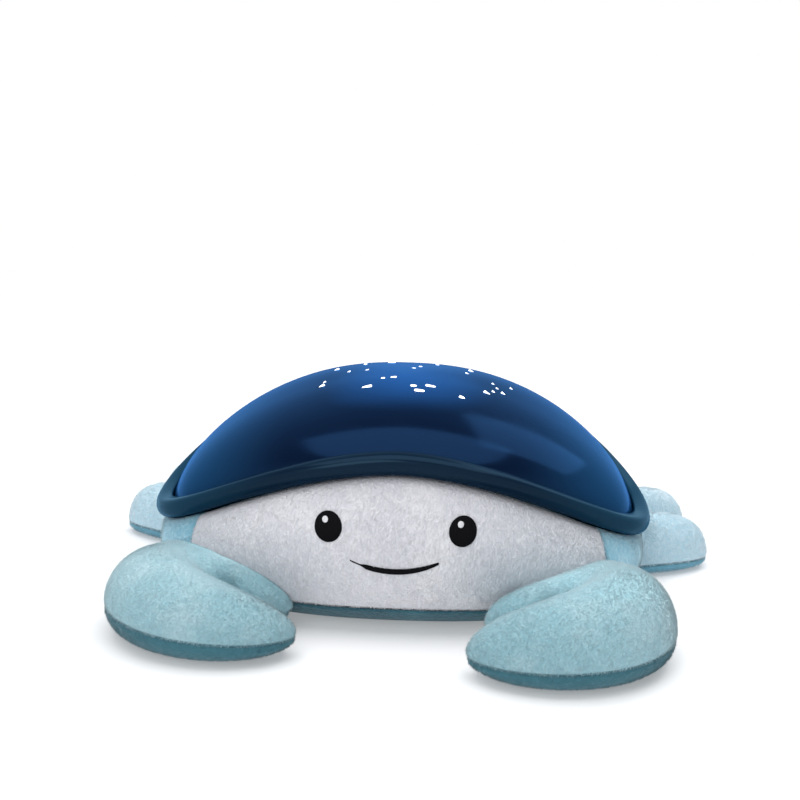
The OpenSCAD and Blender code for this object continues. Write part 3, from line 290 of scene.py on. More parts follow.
white_studio(ambient=0.34)
studio_floor(glow=0.28)
soft_lamp("overhead_softbox", (0.0, 0.05, 1.5), (0, 0.05, 0.05), size=1.9, power=27)
soft_lamp("front_fill", (-0.6, -1.6, 1.2), (0, 0, 0.05), size=1.1, power=11)
soft_lamp("back_softbox", (0.95, 1.25, 1.2), (0, 0, 0.05), size=1.0, power=7)

# %% [markdown]
# ## The outline of the shell
#
# Seen from above the shell is an oval with fuller corners than an ellipse, and its lip arches up over the
# face. It could be drawn as a spline, but a formula lets the dome, the lip and the plush share one edge.

# %% Shell outline
HALF_W, HALF_D, DOME_TOP, TIP_Z = 120.0, 86.0, 101.0, 31.0
CORNER = 2.3
ROUND = 2/CORNER
FRONT_RISE, FRONT_DROP = 44.5, 1.8
REAR_RISE, REAR_DROP = 44.0, 2.4


def signed_power(v, e):
    """A power of the size of v that keeps its sign."""
    return np.sign(v)*np.abs(v)**e


def plan(t, grow):
    """A level oval at the angle t: signed powers of cosine and sine times the half sizes, each grown."""
    return (HALF_W + grow)*signed_power(np.cos(t), ROUND), (HALF_D + grow)*signed_power(np.sin(t), ROUND)


def angle_of(x, y, a=HALF_W, b=HALF_D):
    """The angle t of the oval through a place: the powers are undone, then the arc tangent is taken."""
    return np.arctan2(signed_power(y/b, 1/ROUND), signed_power(x/a, 1/ROUND))


def oval_share(x, y, a, b):
    """Size of the oval through a place, as a share of the one with the half sizes a and b."""
    return (np.abs(x/a)**CORNER + np.abs(y/b)**CORNER)**(1/CORNER)


def oval(t, a, b):
    """A level oval close to a rectangle, with the square roots of cosine and sine."""
    return a*signed_power(np.cos(t), 0.5), b*signed_power(np.sin(t), 0.5)


def turn(count):
    """Angles of even steps round a circle."""
    return np.linspace(0, 2*np.pi, count, endpoint=False)


def at(xy, z):
    """Points from a pair of level coordinates and a height."""
    return np.stack(np.broadcast_arrays(xy[0], xy[1], z), -1)


def lip_low(t):
    """Underside of the lip: lowest at the tips, and its rise falls with a power of the half width."""
    u = np.abs(np.cos(t))**ROUND
    return TIP_Z + np.where(np.sin(t) < 0, FRONT_RISE*(1 - u**FRONT_DROP), REAR_RISE*(1 - u**REAR_DROP))


print("lip height at the tip and over the face:", lip_low(0.0), lip_low(np.radians(270)))

# %% [markdown]
# ## The tinted dome
#
# The dome is one moulding of translucent plastic, pierced by small windows for the light, four buttons and a
# microphone port on its back. A subdivided cage would not follow the arched edge, so each upright line is a
# part of a superellipse from the edge to the crown. Solidify gives it its wall, and one cutter pierces it.

# %% Dome skin
DOME_IN, DOME_SEAT, DOME_FULL = 8.6, 6.15, 1.75


def dome_point(t, phi):
    """Outer skin: the oval shrinks with a power of the cosine of phi, the height grows with its sine's."""
    x, y = plan(t, -DOME_IN)
    base = lip_low(t) + DOME_SEAT
    level, rise = np.cos(phi)**(2/DOME_FULL), np.sin(phi)**(2/DOME_FULL)
    return at((x*level, y*level), base + (DOME_TOP - base)*rise)


def dome_height(x, y):
    """Height of the dome over a place: the share of the oval gives the angle, and that the height."""
    a, b = HALF_W - DOME_IN, HALF_D - DOME_IN
    base = lip_low(angle_of(x, y, a, b)) + DOME_SEAT
    return base + (DOME_TOP - base)*(1 - oval_share(x, y, a, b)**DOME_FULL)**(1/DOME_FULL)


around = turn(288)
skin = dome_point(around, np.linspace(0, 0.5*np.pi, 72)[:, None])
dome = new_piece("dome", skin, grid_quads(*skin.shape[:2], ring_cols=True))
wall = dome.modifiers.new("wall", "SOLIDIFY")
wall.thickness, wall.offset = 0.0024, -1
print("dome skin:", len(dome.data.vertices), "points")

# %% Windows and button holes
WINDOWS = np.array([
    [-41, -3, 2], [-40, 4, 0], [-29, 17, 0], [-20, 15, 0], [-18, -18, 3], [-11, -6, 0], [-6, -5, 1],
    [4, -18, 1], [6, 23, 0], [3, 17, 0], [7, -24, 3], [12, -16, 3], [29, 23, 0], [27, -24, 1],
    [39, -7, 2], [42, 15, 0], [42, -1, 0], [44, 8, 0], [47, 2, 1], [51, 19, 0], [-36, 30, 1],
    [-22, 36, 0], [-9, 39, 2], [14, 38, 0], [31, 34, 1]], float)
WINDOW_R, BUTTON_HOLE_R, MICROPHONE_R = 1.0, 4.35, 0.9
LAMP = np.array([0, 0, 44.0])
BUTTON_AXIS = np.array([0, 0.5, 0.8660254])
BUTTON_UP = np.radians(26)


def bored(centres, axes, lengths, r, depth, sides=28):
    """Long holes: a circle stretched along x by each length, carried along each axis below and above it."""
    a = 2*np.pi*(np.arange(sides) + 0.5)/sides
    across = unit(np.cross(axes, [1.0, 0, 0]))
    along = np.cross(across, axes)
    flat = r*np.cos(a) + np.sign(np.cos(a))*lengths[:, None]/2
    ring = centres[:, None] + flat[..., None]*along[:, None] + (r*np.sin(a))[None, :, None]*across[:, None]
    return np.stack([ring - depth*axes[:, None], ring + depth*axes[:, None]], 1)


def cutter_faces(count, sides):
    """Side quads and two end caps for each of several prisms stored one after the other."""
    side = grid_quads(2, sides, ring_cols=True) + 2*sides*np.arange(count)[:, None, None]
    caps = np.arange(2*sides*count).reshape(-1, sides)
    return side.reshape(-1, 4).tolist() + caps.tolist()


reach = np.array([*WINDOWS[:, :2].T, dome_height(*WINDOWS[:, :2].T)]).T - LAMP
row_reach = (HALF_W - DOME_IN)*np.cos(BUTTON_UP)**(2/DOME_FULL)
row_x = np.array([-22.5, -7.5, 7.5, 22.5, 0])
row_t = np.arccos(signed_power(row_x/row_reach, 1/ROUND))
row = dome_point(row_t, BUTTON_UP)
axes = np.tile(BUTTON_AXIS, (5, 1))
prisms = np.concatenate([
    bored(LAMP + reach, unit(reach), WINDOWS[:, 2], WINDOW_R, 6),
    bored(row[:4], axes[:4], np.zeros(4), BUTTON_HOLE_R, 9),
    bored(row[4:], axes[4:], np.zeros(1), MICROPHONE_R, 9)])
holes, _, sides, _ = prisms.shape
cutter = new_piece("cutter", prisms, cutter_faces(holes, sides), merge=0.001)
pierce = dome.modifiers.new("pierce", "BOOLEAN")
pierce.operation, pierce.solver, pierce.object = "DIFFERENCE", "EXACT", cutter
baked(dome)
bpy.data.objects.remove(cutter)
dome.data.shade_smooth()
dome.data.set_sharp_from_angle(angle=math.radians(35))
print("pierced dome:", len(dome.data.polygons), "faces")

# %% [markdown]
# ## The lip and the funnel under it
#
# The dome drops into a groove of the rim shell, whose round lip is what one sees below the dome. Inside, the
# rim runs down as a funnel to a flange on the tub. A bevelled curve could draw the lip, but its section
# changes height round the shell, so one closed section is carried round the outline.

# %% Rim shell
FUNNEL_OUT, FUNNEL_IN = (78, 55), (76, 53)
FLANGE, FLANGE_LOW, FLANGE_TOP = (59.5, 31.5), 46, 48


def rim_section(t):
    """A closed section at each angle: groove wall, ridge, half an oval as lip, funnel and flange."""
    low = lip_low(t)
    ledge, top = low + 6, low + 10
    a = np.radians(np.linspace(90, -90, 25))[:, None]
    ridge = [at(plan(t, -8), ledge), at(plan(t, -8), top - 0.7), at(plan(t, -7.75), top - 0.2)]
    lip = at(plan(t, 4*(np.cos(a) - 1) - 3*np.maximum(0, np.sin(a))**8), low + 5*(1 + np.sin(a)))
    under = [at(plan(t, -12), low), at(oval(t, *FUNNEL_OUT), FLANGE_LOW), at(oval(t, *FLANGE), FLANGE_LOW)]
    over = [at(oval(t, *FLANGE), FLANGE_TOP), at(oval(t, *FUNNEL_IN), FLANGE_TOP), at(plan(t, -12.5), ledge)]
    return np.concatenate([ridge, lip, under, over])


section = rim_section(around)
rim = new_piece("rim", section, grid_quads(*section.shape[:2], True, True), crease=50)
print("rim shell:", section.shape[0], "points in a section")

# %% [markdown]
# ## The stuffed body
#
# The plush is a padded ring round the plastic tub: it swells out under the lip and draws in where it meets
# the floor. Three fabrics meet on it. The face is a white panel with tucked edges, the underside is a teal
# quilted pad, and the sides are light blue. Each could be sculpted by itself, but one formula for all three
# lets their seams meet without a gap.

# %% Body surface
FACE_FROM, FACE_HALF, SEAM_Z = np.radians(270), np.radians(49), 12.0


def body_top(t):
    """Height of the plush under the lip: half a millimetre below it."""
    return lip_low(t) - 0.5


def body_grow(t, v):
    """Growth of the outline at the share v of the height: a slope from floor to lip plus a swelling."""
    u = np.clip(v, 0, 1)**0.75
    swell = 10 + 12*np.abs(np.sin(t))**1.5
    return -22 + 17*v + swell*4*u*(1 - u)


def body_point(t, v, inset):
    """A point of the plush at the share v of its height, inset below the surface."""
    return at(plan(t, body_grow(t, v) - inset), body_top(t)*v)


def share_at(t, k):
    """The share of the height for k from the lower seam at 0 to the lip at 1."""
    low = SEAM_Z/body_top(t)
    return low + (1 - low)*k


def face_edge(k):
    """Half angle of the face panel: it opens a little from the lower seam up to the lip."""
    return FACE_HALF*(1 + 0.06*k)


def off_face(t):
    """Angle between a place and the middle of the face, whichever way round is shorter."""
    return np.abs((t - FACE_FROM + np.pi) % (2*np.pi) - np.pi)


def smooth_step(v):
    """From 0 to 1 with level ends: three times the square less twice the cube."""
    v = np.clip(v, 0, 1)
    return v*v*(3 - 2*v)


print("body height at the side and the front:", body_top(0.0), body_top(FACE_FROM))

# %% Light blue sides
POCKET, POCKET_TOP, PAD_TOP = (78.9, 55.9), 44.8, 3.5


def body_section(t):
    """From the lip down the skin, with exponential tucks at its seams, under the pad and up the pocket."""
    k = np.linspace(1, 0, 44)[:, None]
    inside = (face_edge(k) - off_face(t))*110
    tuck = 1.6*np.exp(-np.abs(inside)/2.0) + 1.4*np.exp(-k*26) + 1.2*np.exp((k - 1)*30)
    skin = body_point(t, share_at(t, k), 4.5*smooth_step(inside/1.6 + 0.5) + tuck)
    low = SEAM_Z/body_top(t)
    under = [body_point(t, low, 8.0), at(plan(t, body_grow(t, low/3) - 8.0), PAD_TOP)]
    pocket = [at(oval(t, *POCKET), PAD_TOP), at(oval(t, *POCKET), POCKET_TOP),
              at(plan(t, -11.1), lip_low(t) - 1.2)]
    return np.concatenate([skin, under, pocket])


fine_around = turn(540)
section = body_section(fine_around)
body = new_piece("plush_sides", section, grid_quads(*section.shape[:2], True, True), crease=70)
print("plush sides:", len(body.data.polygons), "faces")

# %% White face
def edge_distance(points):
    """Distance of each grid point to the panel's border along the grid lines, rounded at the corners."""
    across = np.cumsum(np.linalg.norm(np.diff(points, axis=1, prepend=points[:, :1]), axis=2), 1)
    along = np.cumsum(np.linalg.norm(np.diff(points, axis=0, prepend=points[:1]), axis=2), 0)
    sides = [across, across[:, -1:] - across, along, along[-1:] - along]
    return sum((d + 1e-3)**-4.0 for d in sides)**-0.25


ROWS, COLS = 72, 220
k, a = np.meshgrid(np.linspace(0.004, 0.992, ROWS), np.linspace(-1, 1, COLS), indexing="ij")
face_t = FACE_FROM + a*(face_edge(k) - 0.006)
edge = edge_distance(body_point(face_t, share_at(face_t, k), 0.0))
pillow = np.sqrt(1 - (1 - np.clip(edge/3.5, 0, 1))**2)
front = body_point(face_t, share_at(face_t, k), 3.9*(1 - pillow) - 0.9*smooth_step(edge/28))
rear = body_point(face_t, share_at(face_t, k), 4.0)
quads = np.concatenate([grid_quads(ROWS, COLS), grid_quads(ROWS, COLS)[:, ::-1] + ROWS*COLS])
face = new_piece("face", np.stack([front, rear]), quads, merge=0.12)
print("face panel stands", round(float(np.min(front[..., 1])), 1), "mm in front of the axis")

# %% Teal belly
QUILT, QUILT_DEEP = 24, 0.9
OPENING, TUB_LEDGE, LEDGE_Z, PAD_Z = (62, 42), (77.7, 54.7), 4.7, 3.0


def quilting(x, y):
    """Depth of the sewn diamonds: a narrow dip along two families of slanted lines a quilt apart."""
    lines = [np.abs((p/QUILT + 0.5) % 1 - 0.5)*QUILT for p in (x + 0.8*y, x - 0.8*y)]
    return QUILT_DEEP*np.exp(-(np.minimum(*lines)/1.6)**2)


def belly_section(t):
    """From the side seam down, in to the opening with quilted dips, and back over the tub's ledge."""
    low = SEAM_Z/body_top(t)
    k = np.linspace(0.995, 0.05, 16)[:, None]
    side = body_point(t, low*k, 0.7*np.exp((k - 1)*20) + 0.7*np.exp(-k*9))
    outer, inner = at(plan(t, -23), 0.0), at(oval(t, *OPENING), 0.0)
    share = np.linspace(0, 1, 40)[:, None, None]
    flat = outer*(1 - share) + inner*share
    dip = quilting(flat[..., 0], flat[..., 1]) + 1.2*np.exp(-(1 - share[..., 0])*30)
    flat[..., 2] = np.clip(dip, 0, 1.2)
    ledge = [at(oval(t, *OPENING), LEDGE_Z), at(oval(t, *TUB_LEDGE), LEDGE_Z), at(oval(t, *TUB_LEDGE), PAD_Z)]
    inside = [at(plan(t, body_grow(t, low/3) - 3.0), PAD_Z), body_point(t, low*0.995, 3.0)]
    return np.concatenate([side, flat, ledge, inside])


section = belly_section(fine_around)
belly = new_piece("belly_pad", section, grid_quads(*section.shape[:2], True, True), crease=70)
x, y, z = points_of(belly).T
set_values(belly, "seam", np.where(z < 2, quilting(x, y)/QUILT_DEEP, 0))
print("belly pad:", len(belly.data.polygons), "faces")

# %% [markdown]
# ## Stuffed claws and legs
#
# Each limb is a fabric tube filled with fibre: it swells in the middle, closes in a blunt tip, lies flat on
# the floor and presses against the body. A claw is a big and a small tube grown together, with a cleft
# between them. A sculpted blob could do, but a tube carried along a curve keeps the limbs of both sides
# alike. The two tubes of a claw are joined by a voxel remesh, and then cloth under inner pressure swells
# every limb as stuffing does.

# %% Tubes along a curve
def curve_at(path, u):
    """A cubic curve: the four control points weighted by the powers of u and 1 - u."""
    weights = np.stack([(1 - u)**3, 3*u*(1 - u)**2, 3*u*u*(1 - u), u**3], -1)
    return weights @ np.array(path, float)


def limb_swell(u, root, tip):
    """Share of the full width along the limb: from the root's share to the tip's, plus a half wave."""
    return root + (tip - root)*u + (1 - (root + tip)/2)*np.sin(np.pi*u)


def limb_tube(path, size, ends, mid, rise, steps=60, sides=64):
    """Rings along the curve: an oval, full above its seam at the share mid, drawn in below; blunt tip."""
    u = np.sin(0.5*np.pi*np.linspace(0, 1, steps))[:, None]
    a = turn(sides)
    step = curve_at(path, np.minimum(1, u[:, 0] + 0.02)) - curve_at(path, np.maximum(0, u[:, 0] - 0.02))
    level = unit(np.stack([-step[:, 1], step[:, 0]], -1))
    full, shut = limb_swell(u, *ends), np.sqrt(1 - u**11)
    high = size[1]*full
    lower = np.sin(a) < 0
    out = size[0]/2*full*shut*np.where(lower, signed_power(np.cos(a), 0.7), np.cos(a))
    up = np.where(lower, -mid*np.abs(np.sin(a))**0.8, (1 - mid)*np.sin(a))
    xy = curve_at(path, u[:, 0])[:, None] + out[..., None]*level[:, None]
    return at((xy[..., 0], xy[..., 1]), high*(mid + shut*up) + rise*u**3)


SIDES = {"left": 1, "right": -1}
SWAY_TURN, SWAY_OUT, SWAY_FORWARD = 3, 2, 4


def swayed(points, side):
    """Turns a limb, mirrors it to its side, and shifts it: forward on side 1 and back on side -1."""
    a = np.radians(-SWAY_TURN*side)
    x, y, z = np.moveaxis(points, -1, 0)
    out, back = x*np.cos(a) - y*np.sin(a), x*np.sin(a) + y*np.cos(a)
    return np.stack([side*out + SWAY_OUT, back - SWAY_FORWARD*side, z], -1)


def pressed_out(points, gap=0.8):
    """Moves points that lie in the body out from the axis, onto the body's outline at their height."""
    x, y, z = np.moveaxis(points, -1, 0)
    t = angle_of(x, y)
    grow = body_grow(t, np.clip(z/body_top(t), 0, 1)) + gap
    out = 1/np.clip(oval_share(x, y, HALF_W + grow, HALF_D + grow), 0.3, 1)
    return np.stack([x*out, y*out, z], -1)


def capped_tube(tube):
    """Points and quads of a tube whose two ends close on their middles."""
    ends = [np.repeat(ring.mean(0)[None], tube.shape[1], 0)[None] for ring in (tube[0], tube[-1])]
    rings = np.concatenate([ends[0], tube, ends[1]])
    return rings, grid_quads(*rings.shape[:2], ring_cols=True)


CLAW = [[82, -45], [129, -88], [97, -137], [37, -117]]
steps = np.diff(curve_at(CLAW, np.linspace(0, 1, 99)), axis=0)
print("big claw is", round(float(np.linalg.norm(steps, axis=1).sum())), "mm along its curve")

# %% Stuffing
CLOTH_STEPS, PRESSURE = 20, 4


def stuffed(obj, held, cap):
    """Cloth under pressure, without weight: held points stay, and no point moves more than cap mm."""
    start = points_of(obj)
    skin = obj.copy()
    skin.data = obj.data.copy()
    scene.collection.objects.link(skin)
    skin.vertex_groups.new(name="seam").add(np.flatnonzero(held).tolist(), 1.0, "ADD")
    cloth = skin.modifiers.new("stuffing", "CLOTH").settings
    cloth.quality, cloth.mass = 4, 0.2
    cloth.use_pressure, cloth.uniform_pressure_force = True, PRESSURE
    cloth.effector_weights.gravity = 0
    cloth.vertex_group_mass = "seam"
    for step in range(1, CLOTH_STEPS + 1):
        scene.frame_set(step)
    swollen = points_of(baked(skin))
    scene.frame_set(1)
    bpy.data.objects.remove(skin)
    move = swollen - start
    far = np.linalg.norm(move, axis=1)[:, None]
    return start + move*np.minimum(1, cap/np.maximum(far, 1e-6))


def put_points(obj, points):
    """Moves the object's points to new places in millimetres."""
    obj.data.vertices.foreach_set("co", to_row(points).ravel())
    obj.data.update()


def normals_of(obj):
    """The outward direction at each point."""
    flat = np.empty(len(obj.data.vertices)*3)
    obj.data.vertices.foreach_get("normal", flat)
    return flat.reshape(-1, 3)


def finer(obj):
    """Divides every face in four, rounded by subdivision."""
    modifier = obj.modifiers.new("finer", "SUBSURF")
    modifier.levels = modifier.render_levels = 1
    return baked(obj)


print("stuffing is skipped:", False)

# %% Seams and folds
CLAW_WIDE, CLAW_HIGH, CLAW_MID, CLAW_ENDS = 50, {1: 42.0, -1: 37.0}, {1: 0.29, -1: 0.36}, (0.72, 0.66)
FOLDS = [
    ([[60, -106], [72, -102], [80, -92], [86, -80]], 1.3, 1.2),
    ([[64, -106], [76, -104], [86, -102], [96, -96]], 1.3, 1.2),
    ([[72, -100], [76, -98], [81, -93], [86, -85]], 4.5, 5.0)]


def level_curve(path, u, side):
    """Places along a limb's curve on its side, seen from above."""
    return swayed(at(curve_at(path, u).T, 0.0), side)[:, :2]


def along_curve(points, path, side):
    """For each point, the parameter of the nearest place of the limb's curve, seen from above."""
    u = np.linspace(0, 1, 160)
    return u[np.argmin(((points[:, None, :2] - level_curve(path, u, side))**2).sum(2), 1)]


def claw_seam(points, side):
    """Height above the claw's seam, which lies at the share of its height where its section is widest."""
    u = along_curve(points, CLAW, side)
    return points[:, 2] - (CLAW_MID[side]*CLAW_HIGH[side]*limb_swell(u, *CLAW_ENDS) + u**3)


def folded(points, side):
    """Depth of the folds on top: a dip beside each curve, seen from above, that fades and widens along it."""
    depth = np.zeros(len(points))
    for path, deep, wide in FOLDS:
        u = along_curve(points, path, side)
        off = points[:, :2] - level_curve(path, u, side)
        depth += deep*(1 - u)*np.exp(-(np.linalg.norm(off, axis=1)/(wide + 2*u))**2)
    return depth*smooth_step((points[:, 2] - 14)/6)


def claw_panel_and_painted_shade(points, side):
    """1 on the darker panel below the seam, plus painted shade: a share of it in the folds and towards the
    tip.
    """
    seam = smooth_step(-claw_seam(points, side)/1.2 + 0.5)
    flat = smooth_step((along_curve(points, CLAW, side) - 0.4)/0.5)
    # Painted shade: the folds and the half towards the tip take some of the darker panel colour.
    return np.maximum(seam, 0.1*folded(points, side) + 0.25*flat)


def sewn(obj, off, wide, deep, under, folds=0.0):
    """Pulls seam and folds in along the normals, the seam as a narrow bell curve of the height off it."""
    dip = np.exp(-(off/wide)**2)
    set_values(obj, "seam", dip)
    set_values(obj, "under", under)
    points = points_of(obj) - normals_of(obj)*(deep*dip + folds)[:, None]
    points[:, 2] = np.maximum(points[:, 2], 0)
    put_points(obj, points)
    obj.data.shade_smooth()
    return obj


print("folds on each claw:", len(FOLDS))

# %% Claws
PINCER = [[90, -57], [90, -80], [68, -93], [43, -88]]
PINCER_SIZE, PINCER_ENDS, PINCER_MID, PINCER_RISE = (31, 33), (1, 0.6), 0.35, 5


def joined_tubes(name, side):
    """The two tubes of a claw made one by a voxel remesh, and smoothed more towards the small one's root."""
    size = (CLAW_WIDE, CLAW_HIGH[side])
    big = limb_tube(CLAW, size, CLAW_ENDS, CLAW_MID[side], 1)
    small = limb_tube(PINCER, PINCER_SIZE, PINCER_ENDS, PINCER_MID, PINCER_RISE)
    (big, quads), (small, more) = [capped_tube(swayed(tube, side)) for tube in (big, small)]
    both = np.concatenate([big.reshape(-1, 3), small.reshape(-1, 3)])
    claw = new_piece(name, both, np.concatenate([quads, more + big.shape[0]*big.shape[1]]))
    claw.modifiers.new("join", "REMESH").voxel_size = 0.002
    baked(claw)
    near_root = smooth_step((0.8 - along_curve(points_of(claw), PINCER, side))/0.5)
    group = claw.vertex_groups.new(name="root")
    for share in np.linspace(0.1, 1, 10):
        group.add(np.flatnonzero(near_root >= share).tolist(), float(share), "REPLACE")
    relax = claw.modifiers.new("relax", "SMOOTH")
    relax.factor, relax.iterations = 0.5, 5
    merge = claw.modifiers.new("merge", "SMOOTH")
    merge.factor, merge.iterations, merge.vertex_group = 0.5, 50, "root"
    return baked(claw)


def make_claw(name, side):
    """A claw pressed against the body, swollen with stuffing and sewn round its edge."""
    claw = joined_tubes(name, side)
    put_points(claw, pressed_out(points_of(claw)))
    held = np.abs(claw_seam(points_of(claw), side)) < 1.3
    put_points(claw, pressed_out(stuffed(claw, held, 2.0)))
    points = points_of(finer(claw))
    return sewn(claw, claw_seam(points, side), 1.1, 0.8, claw_panel_and_painted_shade(points, side), folded(points, side))


claws = [make_claw("claw." + hand, side) for hand, side in SIDES.items()]
print("claws:", [len(o.data.polygons) for o in claws], "faces")

# %% Legs
LEG_LONG, LEG_THICK, LEG_ENDS, LEG_MID, LEG_SEAM_Z = 66.0, 28.4, (0.86, 0.7), 0.22, 6.16
LEGS = [(place, root, bearing, hand, side) for hand, side in SIDES.items()
        for place, root, bearing in (("front", (88, 17), 24), ("rear", (84, 52), 36))]


def leg_path(root, bearing):
    """Direction of a straight leg, and its curve's four points along it."""
    way = np.array([np.cos(np.radians(bearing)), np.sin(np.radians(bearing))])
    return way, np.array(root) + np.outer(np.array([0, 0.4, 0.75, 1])*LEG_LONG, way)


def leg_seam(points, root, bearing, side):
    """Height above the leg's seam, which lies at a share of its height that follows its swell."""
    way = leg_path(root, bearing)[0]*[side, 1]
    u = np.clip((points[:, :2] - swayed(np.array([*root, 0.0]), side)[:2]) @ way/LEG_LONG, 0, 1)
    return points[:, 2] - LEG_SEAM_Z*limb_swell(u, *LEG_ENDS) - u**3


def below_leg(points, root, bearing, side):
    """1 on the panel below the leg's seam and 0 above it, with a smooth step between."""
    return smooth_step(-leg_seam(points, root, bearing, side)/1.2 + 0.5)


def make_leg(name, root, bearing, side):
    """A straight tube pressed against the body, swollen with stuffing and sewn along its lower edge."""
    where = (root, bearing, side)
    tube = limb_tube(leg_path(root, bearing)[1], (LEG_THICK, LEG_THICK), LEG_ENDS, LEG_MID, 1, 44, 56)
    rings, quads = capped_tube(swayed(tube, side))
    leg = new_piece(name, pressed_out(rings), quads)
    held = np.abs(leg_seam(points_of(leg), *where)) < 1.0
    put_points(leg, pressed_out(stuffed(leg, held, 1.0)))
    points = points_of(finer(leg))
    return sewn(leg, leg_seam(points, *where), 0.9, 0.6, below_leg(points, *where))


legs = [make_leg("leg_%s.%s" % (place, hand), root, bearing, side)
        for place, root, bearing, hand, side in LEGS]
print("legs:", [o.name for o in legs])

# %% [markdown]
# ## The stitched face
#
# Eyes and mouth are satin stitch: rows of glossy black thread that stand a little proud of the pile. Drawing
# them in the face's material would be lighter, but real stitches have a rounded edge that catches the light,
# so each is a small crowned patch that follows the face.

# %% Eyes and mouth
EYE_X, EYE_Z, GLINT_X, GLINT_Z = 29.5, 53, -1.2, 3.2
EYE = {"wide": 12.2, "high": 13.2, "low": 1.1, "crown": 0.9}
GLINT = {"wide": 2.6, "high": 2.8, "low": 2.0, "crown": 0.25}
MOUTH_HALF, MOUTH_Z, MOUTH_BOW = 19.5, 34.5, 4.5


def on_face(x, z, lift):
    """A point over the face at x across and z up: the angle whose outline reaches x, then the lift out."""
    t = FACE_FROM + np.arcsin(signed_power(x/(HALF_W + body_grow(FACE_FROM, 0.6)), 1/ROUND))
    for _ in range(3):
        v = z/body_top(t)
        t = FACE_FROM + np.arcsin(signed_power(x/(HALF_W + body_grow(t, v)), 1/ROUND))
    return at(plan(t, body_grow(t, z/body_top(t)) + lift), z)


def stitched_oval(name, x, z, wide, high, low, crown):
    """A crowned oval: rings out from its middle whose lift falls as a circle does, closed below."""
    r = np.concatenate([np.linspace(0, 1, 20), [0.97, 0]])[:, None]
    lift = low + crown*np.sqrt(np.clip(1 - r**2.6, 0, 1))
    lift[-2:] = low - 0.6
    a = turn(72)
    rings = on_face(x + wide/2*r*np.cos(a), z + high/2*r*np.sin(a), lift)
    return new_piece(name, rings, grid_quads(*rings.shape[:2], ring_cols=True))


eyes = [stitched_oval("eye." + hand, side*EYE_X, EYE_Z, **EYE) for hand, side in SIDES.items()]
glints = [stitched_oval("eye_glint." + hand, side*EYE_X + GLINT_X, EYE_Z + GLINT_Z, **GLINT)
          for hand, side in SIDES.items()]
k = np.linspace(-1, 1, 90)[:, None]
a = turn(16)
stroke = 0.35 + 1.0*smooth_step((k + 0.78)/0.16)*np.sqrt(np.clip(1.02 - k**2, 0, 1))
rings = on_face(MOUTH_HALF*k + 0*a, MOUTH_Z + MOUTH_BOW*k*k + stroke*np.sin(a), 0.9 + 0.9*np.cos(a)*stroke)
mouth = new_piece("mouth_stitch", *capped_tube(rings))
print("eye sits at", points_of(eyes[0]).mean(0).round(1))

# %% [markdown]
# ## Plush
#
# Short-pile plush is a knit brushed into a dense fur of about a millimetre: matt, pale where fibre tips face
# the light, mottled where the pile lies in different directions. One flat blue would look like clay, so cells
# of about a millimetre tint and lift the surface, a wider noise leans the pile, and sheen gives the pale
# edge. Attributes darken the seams and the panel below them, a darker fabric deepened by painted shade; on
# the claws painted shade also darkens the folds and tips.

# %% Plush materials
def plush(name, low, mid, high, under=None, tuft_mm=1.3, stretch=(1, 1, 1)):
    """Brushed pile: cells and noise mottle three colours; seams and the panels below, partly painted shade,
    follow attributes.
    """
    cloth = blank_material(name)
    place = add(cloth, "TexCoord").outputs["Object"]
    place = add(cloth, "Mapping", {"Vector": place, "Scale": stretch}).outputs[0]
    cells = add(cloth, "TexVoronoi", {"Vector": place, "Scale": 1000/tuft_mm, "Randomness": 1.0})
    tuft = ramped(cloth, cells.outputs["Distance"], 0.15, 0.75, 1.0, 0.0)
    fluff = ramped(cloth, noise(cloth, place, 420.0, 3.0), 0.3, 0.7, 0.0, 0.55)
    lean = ramped(cloth, noise(cloth, place, 38.0, 4.0, 0.6), 0.42, 0.72, 0.0, 0.75)
    mixed = maths(cloth, "MULTIPLY_ADD", tuft, 0.45, fluff)
    colour = between(cloth, mixed, linear(low), linear(mid))
    colour = between(cloth, lean, colour, linear(high))
    # The lower panel takes the under colour: a darker fabric, made darker still as painted shade.
    if under:
        below = add(cloth, "Attribute", attribute_name="under").outputs["Fac"]
        colour = between(cloth, below, colour, linear(under))
        seam = add(cloth, "Attribute", attribute_name="seam").outputs["Fac"]
        colour = between(cloth, ramped(cloth, seam, 0.35, 1.0, 0.0, 0.8), colour, linear("#2c5560"))
    bump = add(cloth, "Bump", {"Strength": 0.55, "Distance": 0.0007, "Height": mixed})
    return surfaced(cloth, add(cloth, "BsdfPrincipled", {
        "Base Color": colour, "Roughness": 0.95, "Specular IOR Level": 0.15, "Normal": bump.outputs[0],
        "Sheen Weight": 0.35, "Sheen Roughness": 0.45, "Sheen Tint": linear("#eef6fa")}))


# A dusty blue without a highlight, dark in the seams; below the seam a darker panel, deepened by painted
# shade.
blue_pile = plush("brushed_blue_plush", "#9cc8d3", "#aed3dc", "#c6e0e7", "#457582")
# Painted shade: the claws' plush painted a deeper, richer blue for the sides, as if in the lip's shade; no
# dark seams.
shaded_side_pile = plush("brushed_blue_sides_painted_shade", "#86bed4", "#a9d3e2", "#c3e2ec")
# A cool white that keeps the stitches crisp.
white_pile = plush("brushed_white_plush", "#d6d6dd", "#ecebf0", "#f4f3f6", tuft_mm=1.1, stretch=(1, 1, 0.6))
# Teal, painted darker than its fabric as shade under the toy, and short, so that the sewn diamonds show.
teal_quilt_and_shade = plush("quilted_teal_pile_and_painted_shade", "#244d5a", "#306472", "#3e7480", "#2a6570", tuft_mm=1.0)
